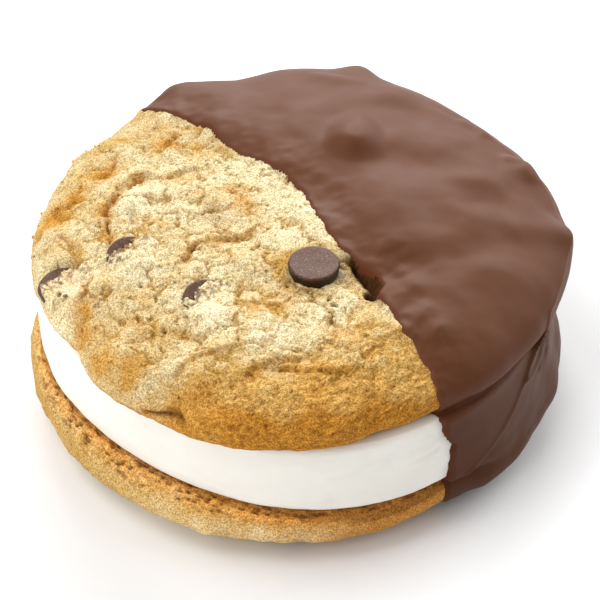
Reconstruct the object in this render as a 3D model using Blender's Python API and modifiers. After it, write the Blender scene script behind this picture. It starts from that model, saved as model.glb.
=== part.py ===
"""Chocolate chip yo-yo: two chocolate chip cookies round a white cream filling, with one half
dipped in chocolate.

The scene is in metres with +Z up, and the lengths below are in millimetres. The origin is the
middle of the footprint, on the table. The upper cookie lies crust up and the lower one crust
down, so that both flat baked faces meet the filling.
"""

import math

import bmesh
import bpy
import numpy as np
from mathutils import Euler, Vector, noise

MM = 0.001

# Where the middle of the footprint comes in the lengths below, which start from the middle of
# the upper cookie.
ORIGIN = np.array([0.0, 0.9, 0.0])

# The filling is turned, then stretched to its own outline.
FILLING_RADIUS = 40.2
FILLING_CENTRE = (-0.8, -0.1)
FILLING_LOBES = ((2, 0.8, -68.0), (3, 0.85, 45.0), (4, 0.3, 15.0))
FILLING_GAP = 0.3
FILLING_BULGE = 0.4
FILLING_EDGE = 0.7
FILLING_COLUMNS = 48

# The dip line runs across both cookies, at DIP_ANGLE from the X axis. Its stations are the
# distance along it and how far the coating stops short of it there.
DIP_ANGLE = math.radians(32.5)
DIP_EDGE = (
    (-60.0, -3.6), (-48.0, -2.6), (-44.0, -0.5), (-36.0, 0.2), (-22.0, 0.5), (-16.0, 2.4),
    (-5.0, 2.9), (4.0, 1.3), (9.0, 0.9), (15.0, 1.3), (24.0, 0.1), (33.0, -0.1), (38.0, -1.1),
    (60.0, -1.2),
)
COAT_GAP = 0.45
COAT_THICKNESS = 1.15
COAT_EDGE_THICKNESS = 0.55
COAT_SWELL_LENGTH = 5.0
COAT_FILLET = 1.6
COAT_FOOT_RISE = 1.9

# Where the bare crust's relief fades out and where the lower cookie's foot steps up, as
# distances past the coating's edge.
RELIEF_FADE = (-4.5, -1.5)
FOOT_STEP = (-6.5, -3.5)

# Humps of the coating, over chips and dough: x, y, z, height and half-width.
HUMPS = (
    (8.5, 21.0, 35.0, 1.9, 3.6),
    (-7.5, 19.0, 35.0, 0.7, 5.5),
    (12.0, -13.5, 35.0, 1.0, 3.4),
    (19.0, -25.0, 33.0, 0.9, 4.2),
    (27.0, 0.5, 34.5, 0.9, 4.6),
    (14.5, 3.0, 35.0, 0.8, 5.5),
    (27.5, 14.0, 34.0, 0.8, 4.2),
    (31.0, -12.0, 32.5, 0.8, 4.6),
    (15.5, 33.0, 33.0, 0.9, 4.0),
    (41.5, 0.5, 28.5, 1.5, 2.8),
    (9.9, 44.0, 27.5, 1.8, 3.0),
    (-20.0, 39.0, 27.0, 0.9, 4.0),
    (41.0, -10.0, 6.0, 0.7, 4.0),
)

# The bare crust: rises and dips as x, y, amount and half-width, then furrows between flakes as
# a depth and a path of points.
RISES = (
    (-25.9, 5.3, 0.9, 4.2),
    (-9.2, -10.2, 0.6, 3.6),
    (-24.4, -10.8, 0.8, 3.2),
    (-12.6, -21.8, 0.8, 3.2),
    (-4.0, -26.5, 0.5, 3.8),
)
DIPS = (
    (2.0, -12.5, 0.9, 6.5),
    (8.0, -14.5, 0.9, 3.0),
    (-13.2, 0.6, 1.0, 3.0),
    (-19.3, -37.7, 0.8, 2.6),
)
FURROWS = (
    (1.0, ((-30.0, -3.5), (-30.3, 4.0), (-27.5, 9.0), (-22.0, 10.6), (-16.5, 12.5))),
    (0.8, ((-40.5, 3.0), (-36.5, 8.5), (-30.0, 12.8), (-29.0, 18.0))),
    (0.9, ((-23.0, -16.0), (-17.8, -8.7), (-15.0, -6.0), (-8.5, -4.5))),
    (0.9, ((-33.5, -23.0), (-32.5, -16.5), (-34.0, -11.5))),
    (0.6, ((-17.0, -31.5), (-13.0, -29.5), (-7.5, -28.0))),
    (0.8, ((-8.5, -34.5), (-3.0, -32.4), (4.0, -33.5), (11.0, -32.0))),
    (0.6, ((0.0, -30.4), (3.6, -27.0), (4.6, -23.5))),
    (0.6, ((-22.4, 18.0), (-20.5, 21.0), (-19.5, 24.5))),
)
FURROW_WIDTH = 1.5

# Roughness: amount and span of the noise.
CRUST_SWELL = (0.75, 11.0)
CRUST_CRAGS = (0.8, 5.0)
EDGE_CRAGS = (0.35, 6.0)
LOWER_CRAGS = (0.75, 6.0)

# A chip is a drop of chocolate with a flat base, which faces out of the crust.
CHIP_RADIUS = 4.0
CHIP_HEIGHT = 5.0
CHIP_SIDE = 1.9
CHIP_ROUNDING = 0.45
CHIP_SIDES = 12
POCKET_GAP = 0.3

# Chips of each crust: x, y and depth of the base's middle below the plain crust, then the
# base's tilt in degrees and the direction that it tilts toward.
UPPER_CHIPS = (
    (2.1, -12.6, -0.9, 5.0, 270.0),
    (-25.9, -8.0, 0.6, 22.0, 300.0),
    (-13.9, -18.4, 0.8, 22.0, 300.0),
    (-36.6, -10.9, 0.9, 10.0, 192.0),
)
LOWER_CHIPS = (
    (-34.0, 12.5, 0.3, 17.0, 160.0),
    (-26.5, -23.0, 0.4, 19.0, 221.0),
    (-1.5, -35.0, 0.3, 18.0, 268.0),
)

# Cuts along each side of the cube that a surface starts from.
UPPER_CUTS = 18
LOWER_CUTS = 15
COAT_CUTS = 19
CORE_CUTS = 13

COLOURS = {
    "crumb": (0.70, 0.46, 0.20),
    "lower_crumb": (0.55, 0.31, 0.11),
    "filling": (0.88, 0.87, 0.82),
    "chocolate": (0.17, 0.075, 0.042),
    "chip": (0.085, 0.040, 0.026),
}

DIP_NORMAL = np.array([math.cos(DIP_ANGLE), math.sin(DIP_ANGLE)])
DIP_ALONG = np.array([math.sin(DIP_ANGLE), -math.cos(DIP_ANGLE)])


class Cookie:
    """A round cookie with a domed crust on one side and a flat baked face on the other."""

    SAMPLES = 400
    CRUST_POWERS = (2.6, 2.4)
    FACE_POWERS = (16.0, 2.0)
    HIDDEN_FACE_SHARE = 0.25

    def __init__(self, radius, centre, lobes, bulges, rim_z, crust_z, face_z):
        self.radius, self.centre = radius, centre
        self.lobes, self.bulges = lobes, bulges
        self.face_z, self.crust_up = face_z, crust_z > face_z
        turn = np.linspace(0.0, math.pi / 2, self.SAMPLES)
        crust, face = self.quarter(turn, self.CRUST_POWERS), self.quarter(turn, self.FACE_POWERS)
        crust_line = np.stack([crust[0], rim_z + crust[1] * (crust_z - rim_z)], 1)
        face_line = np.stack([face[0], rim_z + face[1] * (face_z - rim_z)], 1)
        above, below = (crust_line, face_line) if self.crust_up else (face_line, crust_line)
        self.share, self.z = np.concatenate([above, below[-2::-1]]).T
        weight = np.where((self.z > rim_z) == self.crust_up, 1.0, self.HIDDEN_FACE_SHARE)
        self.table = surface_share(np.stack([self.share * radius, self.z], 1), weight)

    @staticmethod
    def quarter(turn, powers):
        """Reach and height along a quarter of a superellipse, from its top to its side."""
        return np.sin(turn) ** (2.0 / powers[0]), np.cos(turn) ** (2.0 / powers[1])

    def outline(self, angle):
        return lobed(angle, self.radius, self.lobes, self.bulges)

    def section(self, angle):
        """Radius and height along the whole section at one angle, and a little past the middle."""
        shift = self.centre[0] * math.cos(angle) + self.centre[1] * math.sin(angle)
        middle = self.share < 0.1
        share = np.concatenate([self.share, -self.share[middle]])
        z = np.concatenate([self.z, self.z[middle]])
        return np.stack([share * self.outline(angle) + shift, z], 1)

    def wrap(self, sphere):
        """Points on the cookie's plain surface, and their normals, for points of a unit sphere."""
        angle = np.arctan2(sphere[:, 1], sphere[:, 0])
        above = (1.0 - sphere[:, 2]) / 2.0
        reach = np.interp(above, self.table, self.share) * self.outline(angle)
        z = np.interp(above, self.table, self.z)
        x, y = self.centre[0] + reach * np.cos(angle), self.centre[1] + reach * np.sin(angle)
        along = np.interp(above, self.table, np.gradient(self.share * self.radius))
        rise = np.interp(above, self.table, np.gradient(self.z))
        length = np.hypot(along, rise)
        normal = np.stack([-rise * np.cos(angle), -rise * np.sin(angle), along], 1)
        return np.stack([x, y, z], 1), normal / length[:, None]

    def crust_height(self, x, y):
        """Height of the plain crust at x, y."""
        dx, dy = x - self.centre[0], y - self.centre[1]
        at = math.hypot(dx, dy) / float(self.outline(math.atan2(dy, dx)))
        half = slice(None, self.SAMPLES) if self.crust_up else slice(None, -self.SAMPLES - 1, -1)
        return float(np.interp(at, self.share[half], self.z[half]))


def lobed(angle, radius, lobes, bulges=()):
    """A round outline with swells, as lobes, amount and the angle of one lobe in degrees, and
    with single bulges, as their angle, amount and half-width in degrees."""
    swells = sum(a * np.cos(n * (angle - math.radians(at))) for n, a, at in lobes)
    turns = [((np.degrees(angle) - at + 180.0) % 360.0 - 180.0) / width for at, _, width in bulges]
    return radius + swells + sum(b[1] * np.exp(-turn**2) for b, turn in zip(bulges, turns))


def surface_share(line, weight=1.0, bend_weight=0.0):
    """Share of a turned surface above each point of its section, more where it bends."""
    step = np.diff(line, axis=0)
    length = np.hypot(step[:, 0], step[:, 1])
    bend = np.abs(np.gradient(np.unwrap(np.arctan2(step[:, 1], step[:, 0]))))
    area = (length + bend_weight * bend) * (line[1:, 0] + line[:-1, 0])
    weight = np.broadcast_to(weight, len(line))
    total = np.concatenate([[0.0], np.cumsum(area * (weight[1:] + weight[:-1]))])
    return total / total[-1]


UPPER = Cookie(
    radius=41.9,
    centre=(-1.0, 0.1),
    lobes=((2, 1.0, 82.0), (3, 0.5, 9.0), (4, 0.7, -5.0), (6, 0.35, 16.0)),
    bulges=((104, -0.9, 8), (120, 1.0, 8), (137, -1.0, 6), (212, -1.0, 7), (226, 0.9, 7), (279, 0.7, 6)),
    rim_z=25.3,
    crust_z=33.3,
    face_z=22.5,
)
LOWER = Cookie(
    radius=42.2,
    centre=(-1.2, -0.1),
    lobes=((2, 0.5, 74.0), (3, 0.4, 35.0)),
    bulges=((306, -1.2, 9), (338, -0.6, 12)),
    rim_z=6.2,
    crust_z=-1.6,
    face_z=10.0,
)


def smoothstep(low, high, value):
    share = np.clip((value - low) / (high - low), 0.0, 1.0)
    return share * share * (3.0 - 2.0 * share)


def dip_depth(x, y):
    """Distance past the coating's edge, into the dipped half."""
    across = x * DIP_NORMAL[0] + y * DIP_NORMAL[1]
    along = x * DIP_ALONG[0] + y * DIP_ALONG[1]
    return across - np.interp(along, *zip(*DIP_EDGE))


def mounds(points, places):
    """Sum of rounded mounds at places that end in an amount and a half-width."""
    total = np.zeros(len(points))
    for *centre, amount, width in places:
        away = np.sum((points[:, : len(centre)] - centre) ** 2, axis=1)
        total += amount * np.exp(-away / width**2)
    return total


def furrow_depth(points):
    """Depth of the furrows at each point, from its distance to each path."""
    deepest = np.zeros(len(points))
    for depth, path in FURROWS:
        for start, end in zip(np.array(path), np.array(path)[1:]):
            run, offset = end - start, points[:, :2] - start
            share = np.clip(offset @ run / (run @ run), 0.0, 1.0)
            away = np.sum((offset - share[:, None] * run) ** 2, axis=1)
            deepest = np.maximum(deepest, depth * np.exp(-away / FURROW_WIDTH**2))
    return deepest


def crags(points, amount_and_span, seed):
    """Rough noise of the given amount, with features of the given span."""
    amount, span = amount_and_span
    shift = Vector((seed, 0.7 * seed, -1.3 * seed))
    values = [noise.fractal(Vector(point) / span + shift, 1.0, 2.1, 3) for point in points]
    return amount * np.array(values)


def quad_sphere(name, cuts):
    """A cube with an even grid on each side, puffed out to a unit sphere."""
    work = bmesh.new()
    bmesh.ops.create_cube(work, size=2.0)
    bmesh.ops.subdivide_edges(work, edges=work.edges[:], cuts=cuts - 1, use_grid_fill=True)
    for vertex in work.verts:
        vertex.co = Vector([math.tan(c * math.pi / 4.0) for c in vertex.co]).normalized()
    mesh = bpy.data.meshes.new(name)
    work.to_mesh(mesh)
    work.free()
    return mesh


def read_points(mesh):
    flat = np.empty(len(mesh.vertices) * 3)
    mesh.vertices.foreach_get("co", flat)
    return flat.reshape(-1, 3)


def write_points(mesh, points):
    """Gives a mesh its points, from the lengths used here."""
    mesh.vertices.foreach_set("co", ((points - ORIGIN) * MM).ravel())
    mesh.update()


def material_of(name):
    found = bpy.data.materials.get(name)
    if found:
        return found
    made = bpy.data.materials.new(name)
    made.use_nodes = True
    shader = made.node_tree.nodes["Principled BSDF"]
    shader.inputs["Base Color"].default_value = (*COLOURS[name], 1.0)
    shader.inputs["Roughness"].default_value = 0.4 if name in ("chocolate", "chip") else 0.8
    return made


def place(mesh, colour, collection):
    """Links a mesh as an object, as a hidden cutter if it has no colour."""
    piece = bpy.data.objects.new(mesh.name, mesh)
    collection.objects.link(piece)
    mesh.shade_smooth()
    if colour:
        mesh.materials.append(material_of(colour))
    else:
        piece.hide_render = True
        piece.display_type = "WIRE"
    return piece


def boolean(piece, operation, tool):
    step = piece.modifiers.new(f"{operation.lower()} {tool.name}", "BOOLEAN")
    step.operation = operation
    step.solver = "EXACT"
    step.object = tool


def turned(name, profile, sides):
    """Mesh of a profile, listed from its top down its outer side, turned about the Z axis."""
    line = bpy.data.meshes.new(name + "_profile")
    edges = [(i, i + 1) for i in range(len(profile) - 1)]
    line.from_pydata([(r * MM, 0.0, z * MM) for r, z in profile], edges, [])
    lathe = bpy.data.objects.new(name + "_profile", line)
    bpy.context.scene.collection.objects.link(lathe)
    screw = lathe.modifiers.new("turn", "SCREW")
    screw.steps = screw.render_steps = sides
    screw.use_merge_vertices = True
    screw.merge_threshold = 1e-5
    graph = bpy.context.evaluated_depsgraph_get()
    mesh = bpy.data.meshes.new_from_object(lathe.evaluated_get(graph))
    mesh.name = name
    bpy.data.objects.remove(lathe)
    return mesh


def upper_cookie(collection):
    """The upper cookie. Its crust is flaky and furrowed where bare and plain under the coating."""
    mesh = quad_sphere("upper_cookie", UPPER_CUTS)
    points, normals = UPPER.wrap(read_points(mesh))
    bare = 1.0 - smoothstep(*RELIEF_FADE, dip_depth(points[:, 0], points[:, 1]))
    on_top = smoothstep(-0.1, 0.6, normals[:, 2])
    crust = crags(points, CRUST_SWELL, 3.1) + crags(points, CRUST_CRAGS, 8.4)
    crust += mounds(points, RISES) - mounds(points, DIPS) - furrow_depth(points)
    edge = crags(points, EDGE_CRAGS, 5.5)
    points += normals * (bare * (on_top * crust + (1.0 - on_top) * edge))[:, None]
    points[:, 2] = np.maximum(points[:, 2], UPPER.face_z)
    write_points(mesh, points)
    return place(mesh, "crumb", collection)


def lower_cookie(collection):
    """The lower cookie, crust down. Its foot is flat: on the table, or on the coating's foot."""
    mesh = quad_sphere("lower_cookie", LOWER_CUTS)
    points, normals = LOWER.wrap(read_points(mesh))
    past = dip_depth(points[:, 0], points[:, 1])
    bare = 1.0 - smoothstep(*RELIEF_FADE, past)
    below = 1.0 - smoothstep(-0.5, 0.3, normals[:, 2])
    points += normals * (bare * below * crags(points, LOWER_CRAGS, 12.9))[:, None]
    foot = COAT_FOOT_RISE * smoothstep(*FOOT_STEP, past)
    points[:, 2] = np.clip(points[:, 2], foot, LOWER.face_z)
    write_points(mesh, points)
    return place(mesh, "lower_crumb", collection)


def filling(collection):
    """A turned drum of cream with a slightly bulging wall, stretched to its own outline."""
    low, high = LOWER.face_z + FILLING_GAP, UPPER.face_z - FILLING_GAP
    wall = (
        (-FILLING_EDGE, high),
        (0.0, high - 0.35 * FILLING_EDGE),
        (0.7 * FILLING_BULGE, high - 1.5 * FILLING_EDGE),
        (FILLING_BULGE, (high + low) / 2),
        (0.7 * FILLING_BULGE, low + 1.5 * FILLING_EDGE),
        (0.0, low + 0.35 * FILLING_EDGE),
        (-FILLING_EDGE, low),
    )
    profile = [(0.0, high), (0.6 * FILLING_RADIUS, high)]
    profile += [(FILLING_RADIUS + out, z) for out, z in wall]
    profile += [(0.6 * FILLING_RADIUS, low), (0.0, low)]
    mesh = turned("filling", profile, FILLING_COLUMNS)
    points = read_points(mesh) / MM
    angle = np.arctan2(points[:, 1], points[:, 0])
    stretch = lobed(angle, FILLING_RADIUS, FILLING_LOBES) / FILLING_RADIUS
    points[:, :2] = points[:, :2] * stretch[:, None] + FILLING_CENTRE
    write_points(mesh, points)
    return place(mesh, "filling", collection)


class Film:
    """The surface that follows the whole stack at a distance, bridging the notch between lips."""

    COLUMNS = 48
    ROWS = 150
    STEPS = 25
    BEND_WEIGHT = 5.0
    CORNERS = ((0.0, 44.0), (52.0, 44.0), (52.0, -10.0), (0.0, -10.0))
    AIM_REACH = 30.0
    AIM_Z = 17.0

    def __init__(self, distance):
        turns = np.linspace(0.0, 2 * math.pi, self.COLUMNS, endpoint=False)
        self.lines = [self.section(turn, distance) for turn in turns]
        self.tables = [surface_share(line, 1.0, self.BEND_WEIGHT) for line in self.lines]

    def section(self, angle, distance):
        """Walks from a box round the stack toward its core until the stack is near enough."""
        shift = FILLING_CENTRE[0] * math.cos(angle) + FILLING_CENTRE[1] * math.sin(angle)
        wall = lobed(angle, FILLING_RADIUS, FILLING_LOBES) + FILLING_BULGE + shift
        levels = np.linspace(LOWER.face_z, UPPER.face_z, 60)
        cream = np.stack([np.full_like(levels, wall), levels], 1)
        solids = [UPPER.section(angle), LOWER.section(angle), cream]
        corners = np.array(self.CORNERS)
        sides = np.linalg.norm(np.diff(corners, axis=0), axis=1)
        reached = np.concatenate([[0.0], np.cumsum(sides)])
        station = np.linspace(0.0, reached[-1], self.ROWS)
        line = np.stack([np.interp(station, reached, corners[:, i]) for i in (0, 1)], 1)
        aim = np.stack([np.minimum(line[:, 0], self.AIM_REACH), np.full(self.ROWS, self.AIM_Z)], 1)
        ray = (aim - line) / np.linalg.norm(aim - line, axis=1)[:, None]
        for _ in range(self.STEPS):
            near = np.stack([self.nearest(line, solid) for solid in solids])
            least = near.min(axis=0)
            blend = COAT_FILLET * np.log(np.sum(np.exp((least - near) / COAT_FILLET), axis=0))
            line += 0.85 * ray * (least - blend - distance)[:, None]
        return line

    @staticmethod
    def nearest(line, solid):
        """Distance from each point of a line to the nearest point of a solid's section."""
        gap = line[:, None] - solid[None]
        return np.sqrt(np.min(gap[..., 0] ** 2 + gap[..., 1] ** 2, axis=1))

    def wrap(self, sphere):
        """Points on the film for points of a unit sphere."""
        place_in_turn = np.arctan2(sphere[:, 1], sphere[:, 0]) / (2 * math.pi) * self.COLUMNS
        above = (1.0 - sphere[:, 2]) / 2.0
        before = np.floor(place_in_turn).astype(int)
        share = place_in_turn - before
        points = np.zeros((len(sphere), 3))
        for column in range(self.COLUMNS):
            for side, weight in ((before, 1.0 - share), (before + 1, share)):
                mine = side % self.COLUMNS == column
                line, table = self.lines[column], self.tables[column]
                reach = np.interp(above[mine], table, line[:, 0]) * weight[mine]
                angle = place_in_turn[mine] * 2 * math.pi / self.COLUMNS
                points[mine, 0] += reach * np.cos(angle)
                points[mine, 1] += reach * np.sin(angle)
                points[mine, 2] += np.interp(above[mine], table, line[:, 1]) * weight[mine]
        return points


def chocolate_coat(collection, tools):
    """The dipped half's skin of chocolate: an outer surface, less the stack, past the dip line."""
    outer = quad_sphere("chocolate_coat", COAT_CUTS)
    sphere = read_points(outer)
    near, far = Film(COAT_GAP).wrap(sphere), Film(COAT_GAP + COAT_THICKNESS).wrap(sphere)
    edge = COAT_EDGE_THICKNESS / COAT_THICKNESS
    full = edge + (1.0 - edge) * smoothstep(0.0, COAT_SWELL_LENGTH, dip_depth(far[:, 0], far[:, 1]))
    points = near + (far - near) * full[:, None]
    outward = (far - near) / np.linalg.norm(far - near, axis=1)[:, None]
    points += outward * mounds(points, HUMPS)[:, None]
    points[:, 2] = np.maximum(points[:, 2], 0.0)
    write_points(outer, points)
    skin = place(outer, "chocolate", collection)

    inner = quad_sphere("stack_core", CORE_CUTS)
    points = Film(COAT_GAP).wrap(read_points(inner))
    points[:, 2] = np.maximum(points[:, 2], COAT_THICKNESS)
    write_points(inner, points)
    core = place(inner, None, tools)

    boolean(skin, "INTERSECT", dip_block(tools))
    boolean(skin, "DIFFERENCE", core)
    return skin


def dip_block(tools):
    """A block over the dipped half. Its near face follows the coating's uneven edge."""
    reach, low, high, step = 60.0, -15.0, 50.0, 3.0
    stations = np.arange(-reach, reach + step / 2, step)
    edge = np.interp(stations, *zip(*DIP_EDGE))
    face = edge[:, None] * DIP_NORMAL + stations[:, None] * DIP_ALONG
    back = reach * DIP_NORMAL + np.array([[reach], [-reach]]) * DIP_ALONG
    rim = (np.concatenate([face, back]) - ORIGIN[:2]) * MM
    work = bmesh.new()
    floor = work.faces.new([work.verts.new((x, y, low * MM)) for x, y in rim])
    walls = bmesh.ops.extrude_face_region(work, geom=[floor])["geom"]
    raised = [item for item in walls if isinstance(item, bmesh.types.BMVert)]
    bmesh.ops.translate(work, verts=raised, vec=(0.0, 0.0, (high - low) * MM))
    bmesh.ops.recalc_face_normals(work, faces=work.faces[:])
    mesh = bpy.data.meshes.new("dip_block")
    work.to_mesh(mesh)
    work.free()
    return place(mesh, None, tools)


def chip_profile(grown):
    """Half of a chip's section, from the middle of its base down its side to its tip."""
    radius, height = CHIP_RADIUS + grown, CHIP_HEIGHT + grown
    return [
        (0.0, grown),
        (radius - CHIP_ROUNDING, grown),
        (radius, grown - CHIP_ROUNDING),
        (0.96 * radius, -CHIP_SIDE),
        (0.68 * radius, -0.68 * height),
        (0.30 * radius, -0.93 * height),
        (0.0, -height),
    ]


def press_chips(piece, cookie, places, prefix, collection, tools):
    """Chips pressed base out into a crust, each in a pocket that it doesn't quite fill."""
    up = 1.0 if cookie.crust_up else -1.0
    for number, (x, y, sunk, tilt, toward) in enumerate(places, 1):
        name = f"{prefix}_{number}"
        lean = tilt if cookie.crust_up else 180.0 - tilt
        chip = place(turned(name, chip_profile(0.0), CHIP_SIDES), "chip", collection)
        cutter_mesh = turned(name + "_pocket", chip_profile(POCKET_GAP), CHIP_SIDES)
        cutter = place(cutter_mesh, None, tools)
        for solid in (chip, cutter):
            solid.rotation_euler = Euler((0.0, math.radians(lean), math.radians(toward)))
            solid.location = (np.array([x, y, cookie.crust_height(x, y) - up * sunk]) - ORIGIN) * MM
        boolean(piece, "DIFFERENCE", cutter)


def main():
    for old in list(bpy.data.objects):
        bpy.data.objects.remove(old)
    parts = bpy.data.collections.new("yo_yo")
    tools = bpy.data.collections.new("cutters")
    for collection in (parts, tools):
        bpy.context.scene.collection.children.link(collection)
    press_chips(upper_cookie(parts), UPPER, UPPER_CHIPS, "chip", parts, tools)
    press_chips(lower_cookie(parts), LOWER, LOWER_CHIPS, "under_chip", parts, tools)
    filling(parts)
    chocolate_coat(parts, tools)


main()
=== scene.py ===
"""Looks of the chocolate chip yo-yo: fine crust, cream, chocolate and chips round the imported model."""

import math
from types import SimpleNamespace

import bpy
import numpy as np
from mathutils import Euler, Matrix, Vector, noise


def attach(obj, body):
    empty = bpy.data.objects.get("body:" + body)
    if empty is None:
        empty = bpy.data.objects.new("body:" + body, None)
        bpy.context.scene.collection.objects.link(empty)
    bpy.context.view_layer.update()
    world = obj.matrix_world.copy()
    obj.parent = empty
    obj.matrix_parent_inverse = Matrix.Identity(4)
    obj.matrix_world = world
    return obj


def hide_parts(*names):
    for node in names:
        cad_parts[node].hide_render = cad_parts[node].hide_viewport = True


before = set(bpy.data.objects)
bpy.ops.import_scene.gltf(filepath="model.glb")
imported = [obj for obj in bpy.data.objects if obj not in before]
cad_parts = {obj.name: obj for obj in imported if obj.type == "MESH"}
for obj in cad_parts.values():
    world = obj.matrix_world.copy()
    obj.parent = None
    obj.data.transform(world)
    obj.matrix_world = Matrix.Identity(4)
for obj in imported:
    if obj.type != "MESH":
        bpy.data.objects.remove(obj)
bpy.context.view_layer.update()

MM = 0.001

# The lengths below are in millimetres, from a point near the axis of both cookies. ORIGIN is the
# model's own origin there, the middle of its footprint.
ORIGIN = np.array([0.0, 0.9, 0.0])

# The main forms are those of the model's source. A lobe is a number of swells, their amount and the
# angle of one in degrees.
FILLING_RADIUS = 40.2
FILLING_CENTRE = (-0.8, -0.1)
FILLING_LOBES = ((2, 0.8, -68), (3, 0.85, 45), (4, 0.3, 15))
FILLING_BULGE = 0.4
# How far the cream's corners are cut back, over what height, and how deep its faces go into dough.
FILLING_EDGE = 0.7
FILLING_EDGE_HEIGHT = 1.2
FILLING_OVERLAP = 0.2

# The direction of the dip, and how far the coating's edge is shifted that way, by the distance
# along it.
DIP_ANGLE = math.radians(32.5)
DIP_EDGE = (
    (-60, -9), (-46, -7), (-43.2, -5.3), (-41.2, -3.7), (-38, -2.7), (-34, -1.4), (-31.5, -0.7),
    (-27, -0.2), (-19, 0.1), (-15.5, 2.1), (-11, 3.4), (-4, 3.5), (1, 2.3), (5.5, 1.4), (9.5, 0.9),
    (13, 1.5), (15.2, 2.7), (18, 2.7), (20.3, 2), (21.8, 0.1), (30, -0.6), (34, -0.7), (38, -0.6),
    (41, -1.1), (60, -1.2),
)
DIP_NORMAL = np.array([math.cos(DIP_ANGLE), math.sin(DIP_ANGLE)])
DIP_ALONG = np.array([math.sin(DIP_ANGLE), -math.cos(DIP_ANGLE)])
# The coating's inner surface lies at the gap from the stack, and its plain outer one at the reach.
COAT_GAP = 0.45
COAT_REACH = 1.6
COAT_SKIN = 0.9
# How deep its edge is tucked into the crust, and how high under the cookie that edge lies.
COAT_TUCK = 1.2
COAT_FOOT_RISE = 1.9
# Fillets in the notch between the lips, of the coating's inner and outer surface.
COAT_FILLETS = (0.35, 0.9)
# The thin coating in the notch, beside the dip line: its outer distance from the stack below the
# lip and at its lower edge, the heights where the lip above it ends, and its lower edge, as
# degrees round the stack and height.
NOTCH_DISTANCE = 0.75
CREASE_DISTANCE = 1.3
NOTCH_TOP = (25.6, 24.2)
NOTCH_EDGE = (
    (-75, 1.5), (-62, 4.6), (-57, 6.6), (-52, 9.2), (-45, 12.2), (-40, 14.2), (-35, 16.6),
    (-31, 19.4), (-27, 23.5), (-22, 27), (180, 40),
)
# Thin folds of the coating in the notch, as degrees round the stack and height.
WALL_FOLDS = (
    ((-22, 22), (-24, 18.8), (-28, 17.9), (-31.5, 18.4)),
    ((-18.5, 20.5), (-17, 17), (-19, 15.4), (-23, 15.6)),
)
# How far past the dip line the coating starts on the wall at its front end, by height.
WALL_EDGE = ((0, 1.9), (15.8, 1.7), (17.4, 2.3), (18.6, 1.2), (21.5, 0.2), (24, 0), (40, 0))
# The heights between which painted shade darkens the coating, down its wall.
PAINTED_SHADE_HEIGHTS = (26, 20)

# The hump with a steep front: x and y of its top, height, half-width, length of the front, length
# of the fall behind it.
STEEP_HUMP = (8.8, 17.2, 2, 5.4, 4.8, 9)

# Humps of the coating, over chips and dough: x, y, z, height and half-width.
HUMPS = (
    (-7.5, 19, 35, 0.7, 5.5), (13.2, -13.5, 35, 0.9, 3.2), (19, -25, 33, 0.9, 4.2),
    (27, 0.5, 34.5, 0.9, 4.6), (14.5, 3, 35, 0.6, 5.5), (27.5, 14, 34, 0.8, 4.2),
    (31, -12, 32.5, 0.8, 4.6), (15.5, 33, 33, 0.9, 4), (41.5, 0.5, 28.5, 0.8, 2.8),
    (9.9, 44, 27.5, 1.8, 3), (-20, 39, 27, 0.9, 4), (41, -10, 6, 0.7, 4),
    (35.5, 14.5, 30.5, 0.8, 2.6),
)

# Ridges and valleys of the coating's top: height, half-width and path.
RIDGES = (
    (0.3, 3.4, ((16, 19), (22, 18.5), (28, 19.5))),
    (0.4, 1.6, ((3, 37.5), (9, 36.5))),
    (-0.4, 3, ((14, 12.5), (21, 12), (27, 13))),
    (-0.35, 2.2, ((-3.6, 25), (-2.4, 19))),
    (0.6, 2.4, ((26, 8.6), (31, 8.8))),
    (-0.6, 2.4, ((27.5, 2.6), (31, 3))),
    (0.35, 3.4, ((13, -7.5), (19, -6.6), (27, -5.6))),
    (-0.5, 3, ((15, -12.6), (18, -12.4))),
    (-0.4, 3.4, ((24, -8.6), (29, -8))),
    (0.25, 1.6, ((12, -22), (17, -16.5))),
    (0.30, 1.3, ((14, -26.6), (19, -21))),
    (-0.20, 1.1, ((15, -28.8), (20, -23.3))),
    (0.30, 1.4, ((16, -31), (21, -25.5))),
    (0.5, 2.4, ((34, -2), (41, 0.3))),
    (0.5, 1.1, ((26.6, 26.2), (28.2, 24.4), (29.2, 22.4))),
    (0.5, 1.1, ((33.4, 16.4), (35.6, 15.6), (36.8, 12.6))),
    (-0.5, 2.6, ((27.5, 16.5), (30.5, 14))),
    (-0.5, 2.6, ((35, 9.5), (39.5, 7))),
)

# The bare crust's large forms, and a dent in its rim: x, y, amount and half-width.
RISES = (
    (-25.9, 5.3, 0.9, 4.2), (-9.2, -10.2, 0.6, 3.6), (-24.4, -10.8, 0.8, 3.2),
    (-12.6, -21.8, 0.8, 3.2), (-4, -26.5, 0.5, 3.8),
)
DIPS = (
    (2, -12.5, 0.8, 5.5), (7.6, -14.2, 1.1, 2.2), (-13.2, 0.6, 1, 3), (-19.3, -38.4, 0.6, 2.8),
)
RIM_DENT = ((-42, -12, 1, 3.4),)

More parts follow.
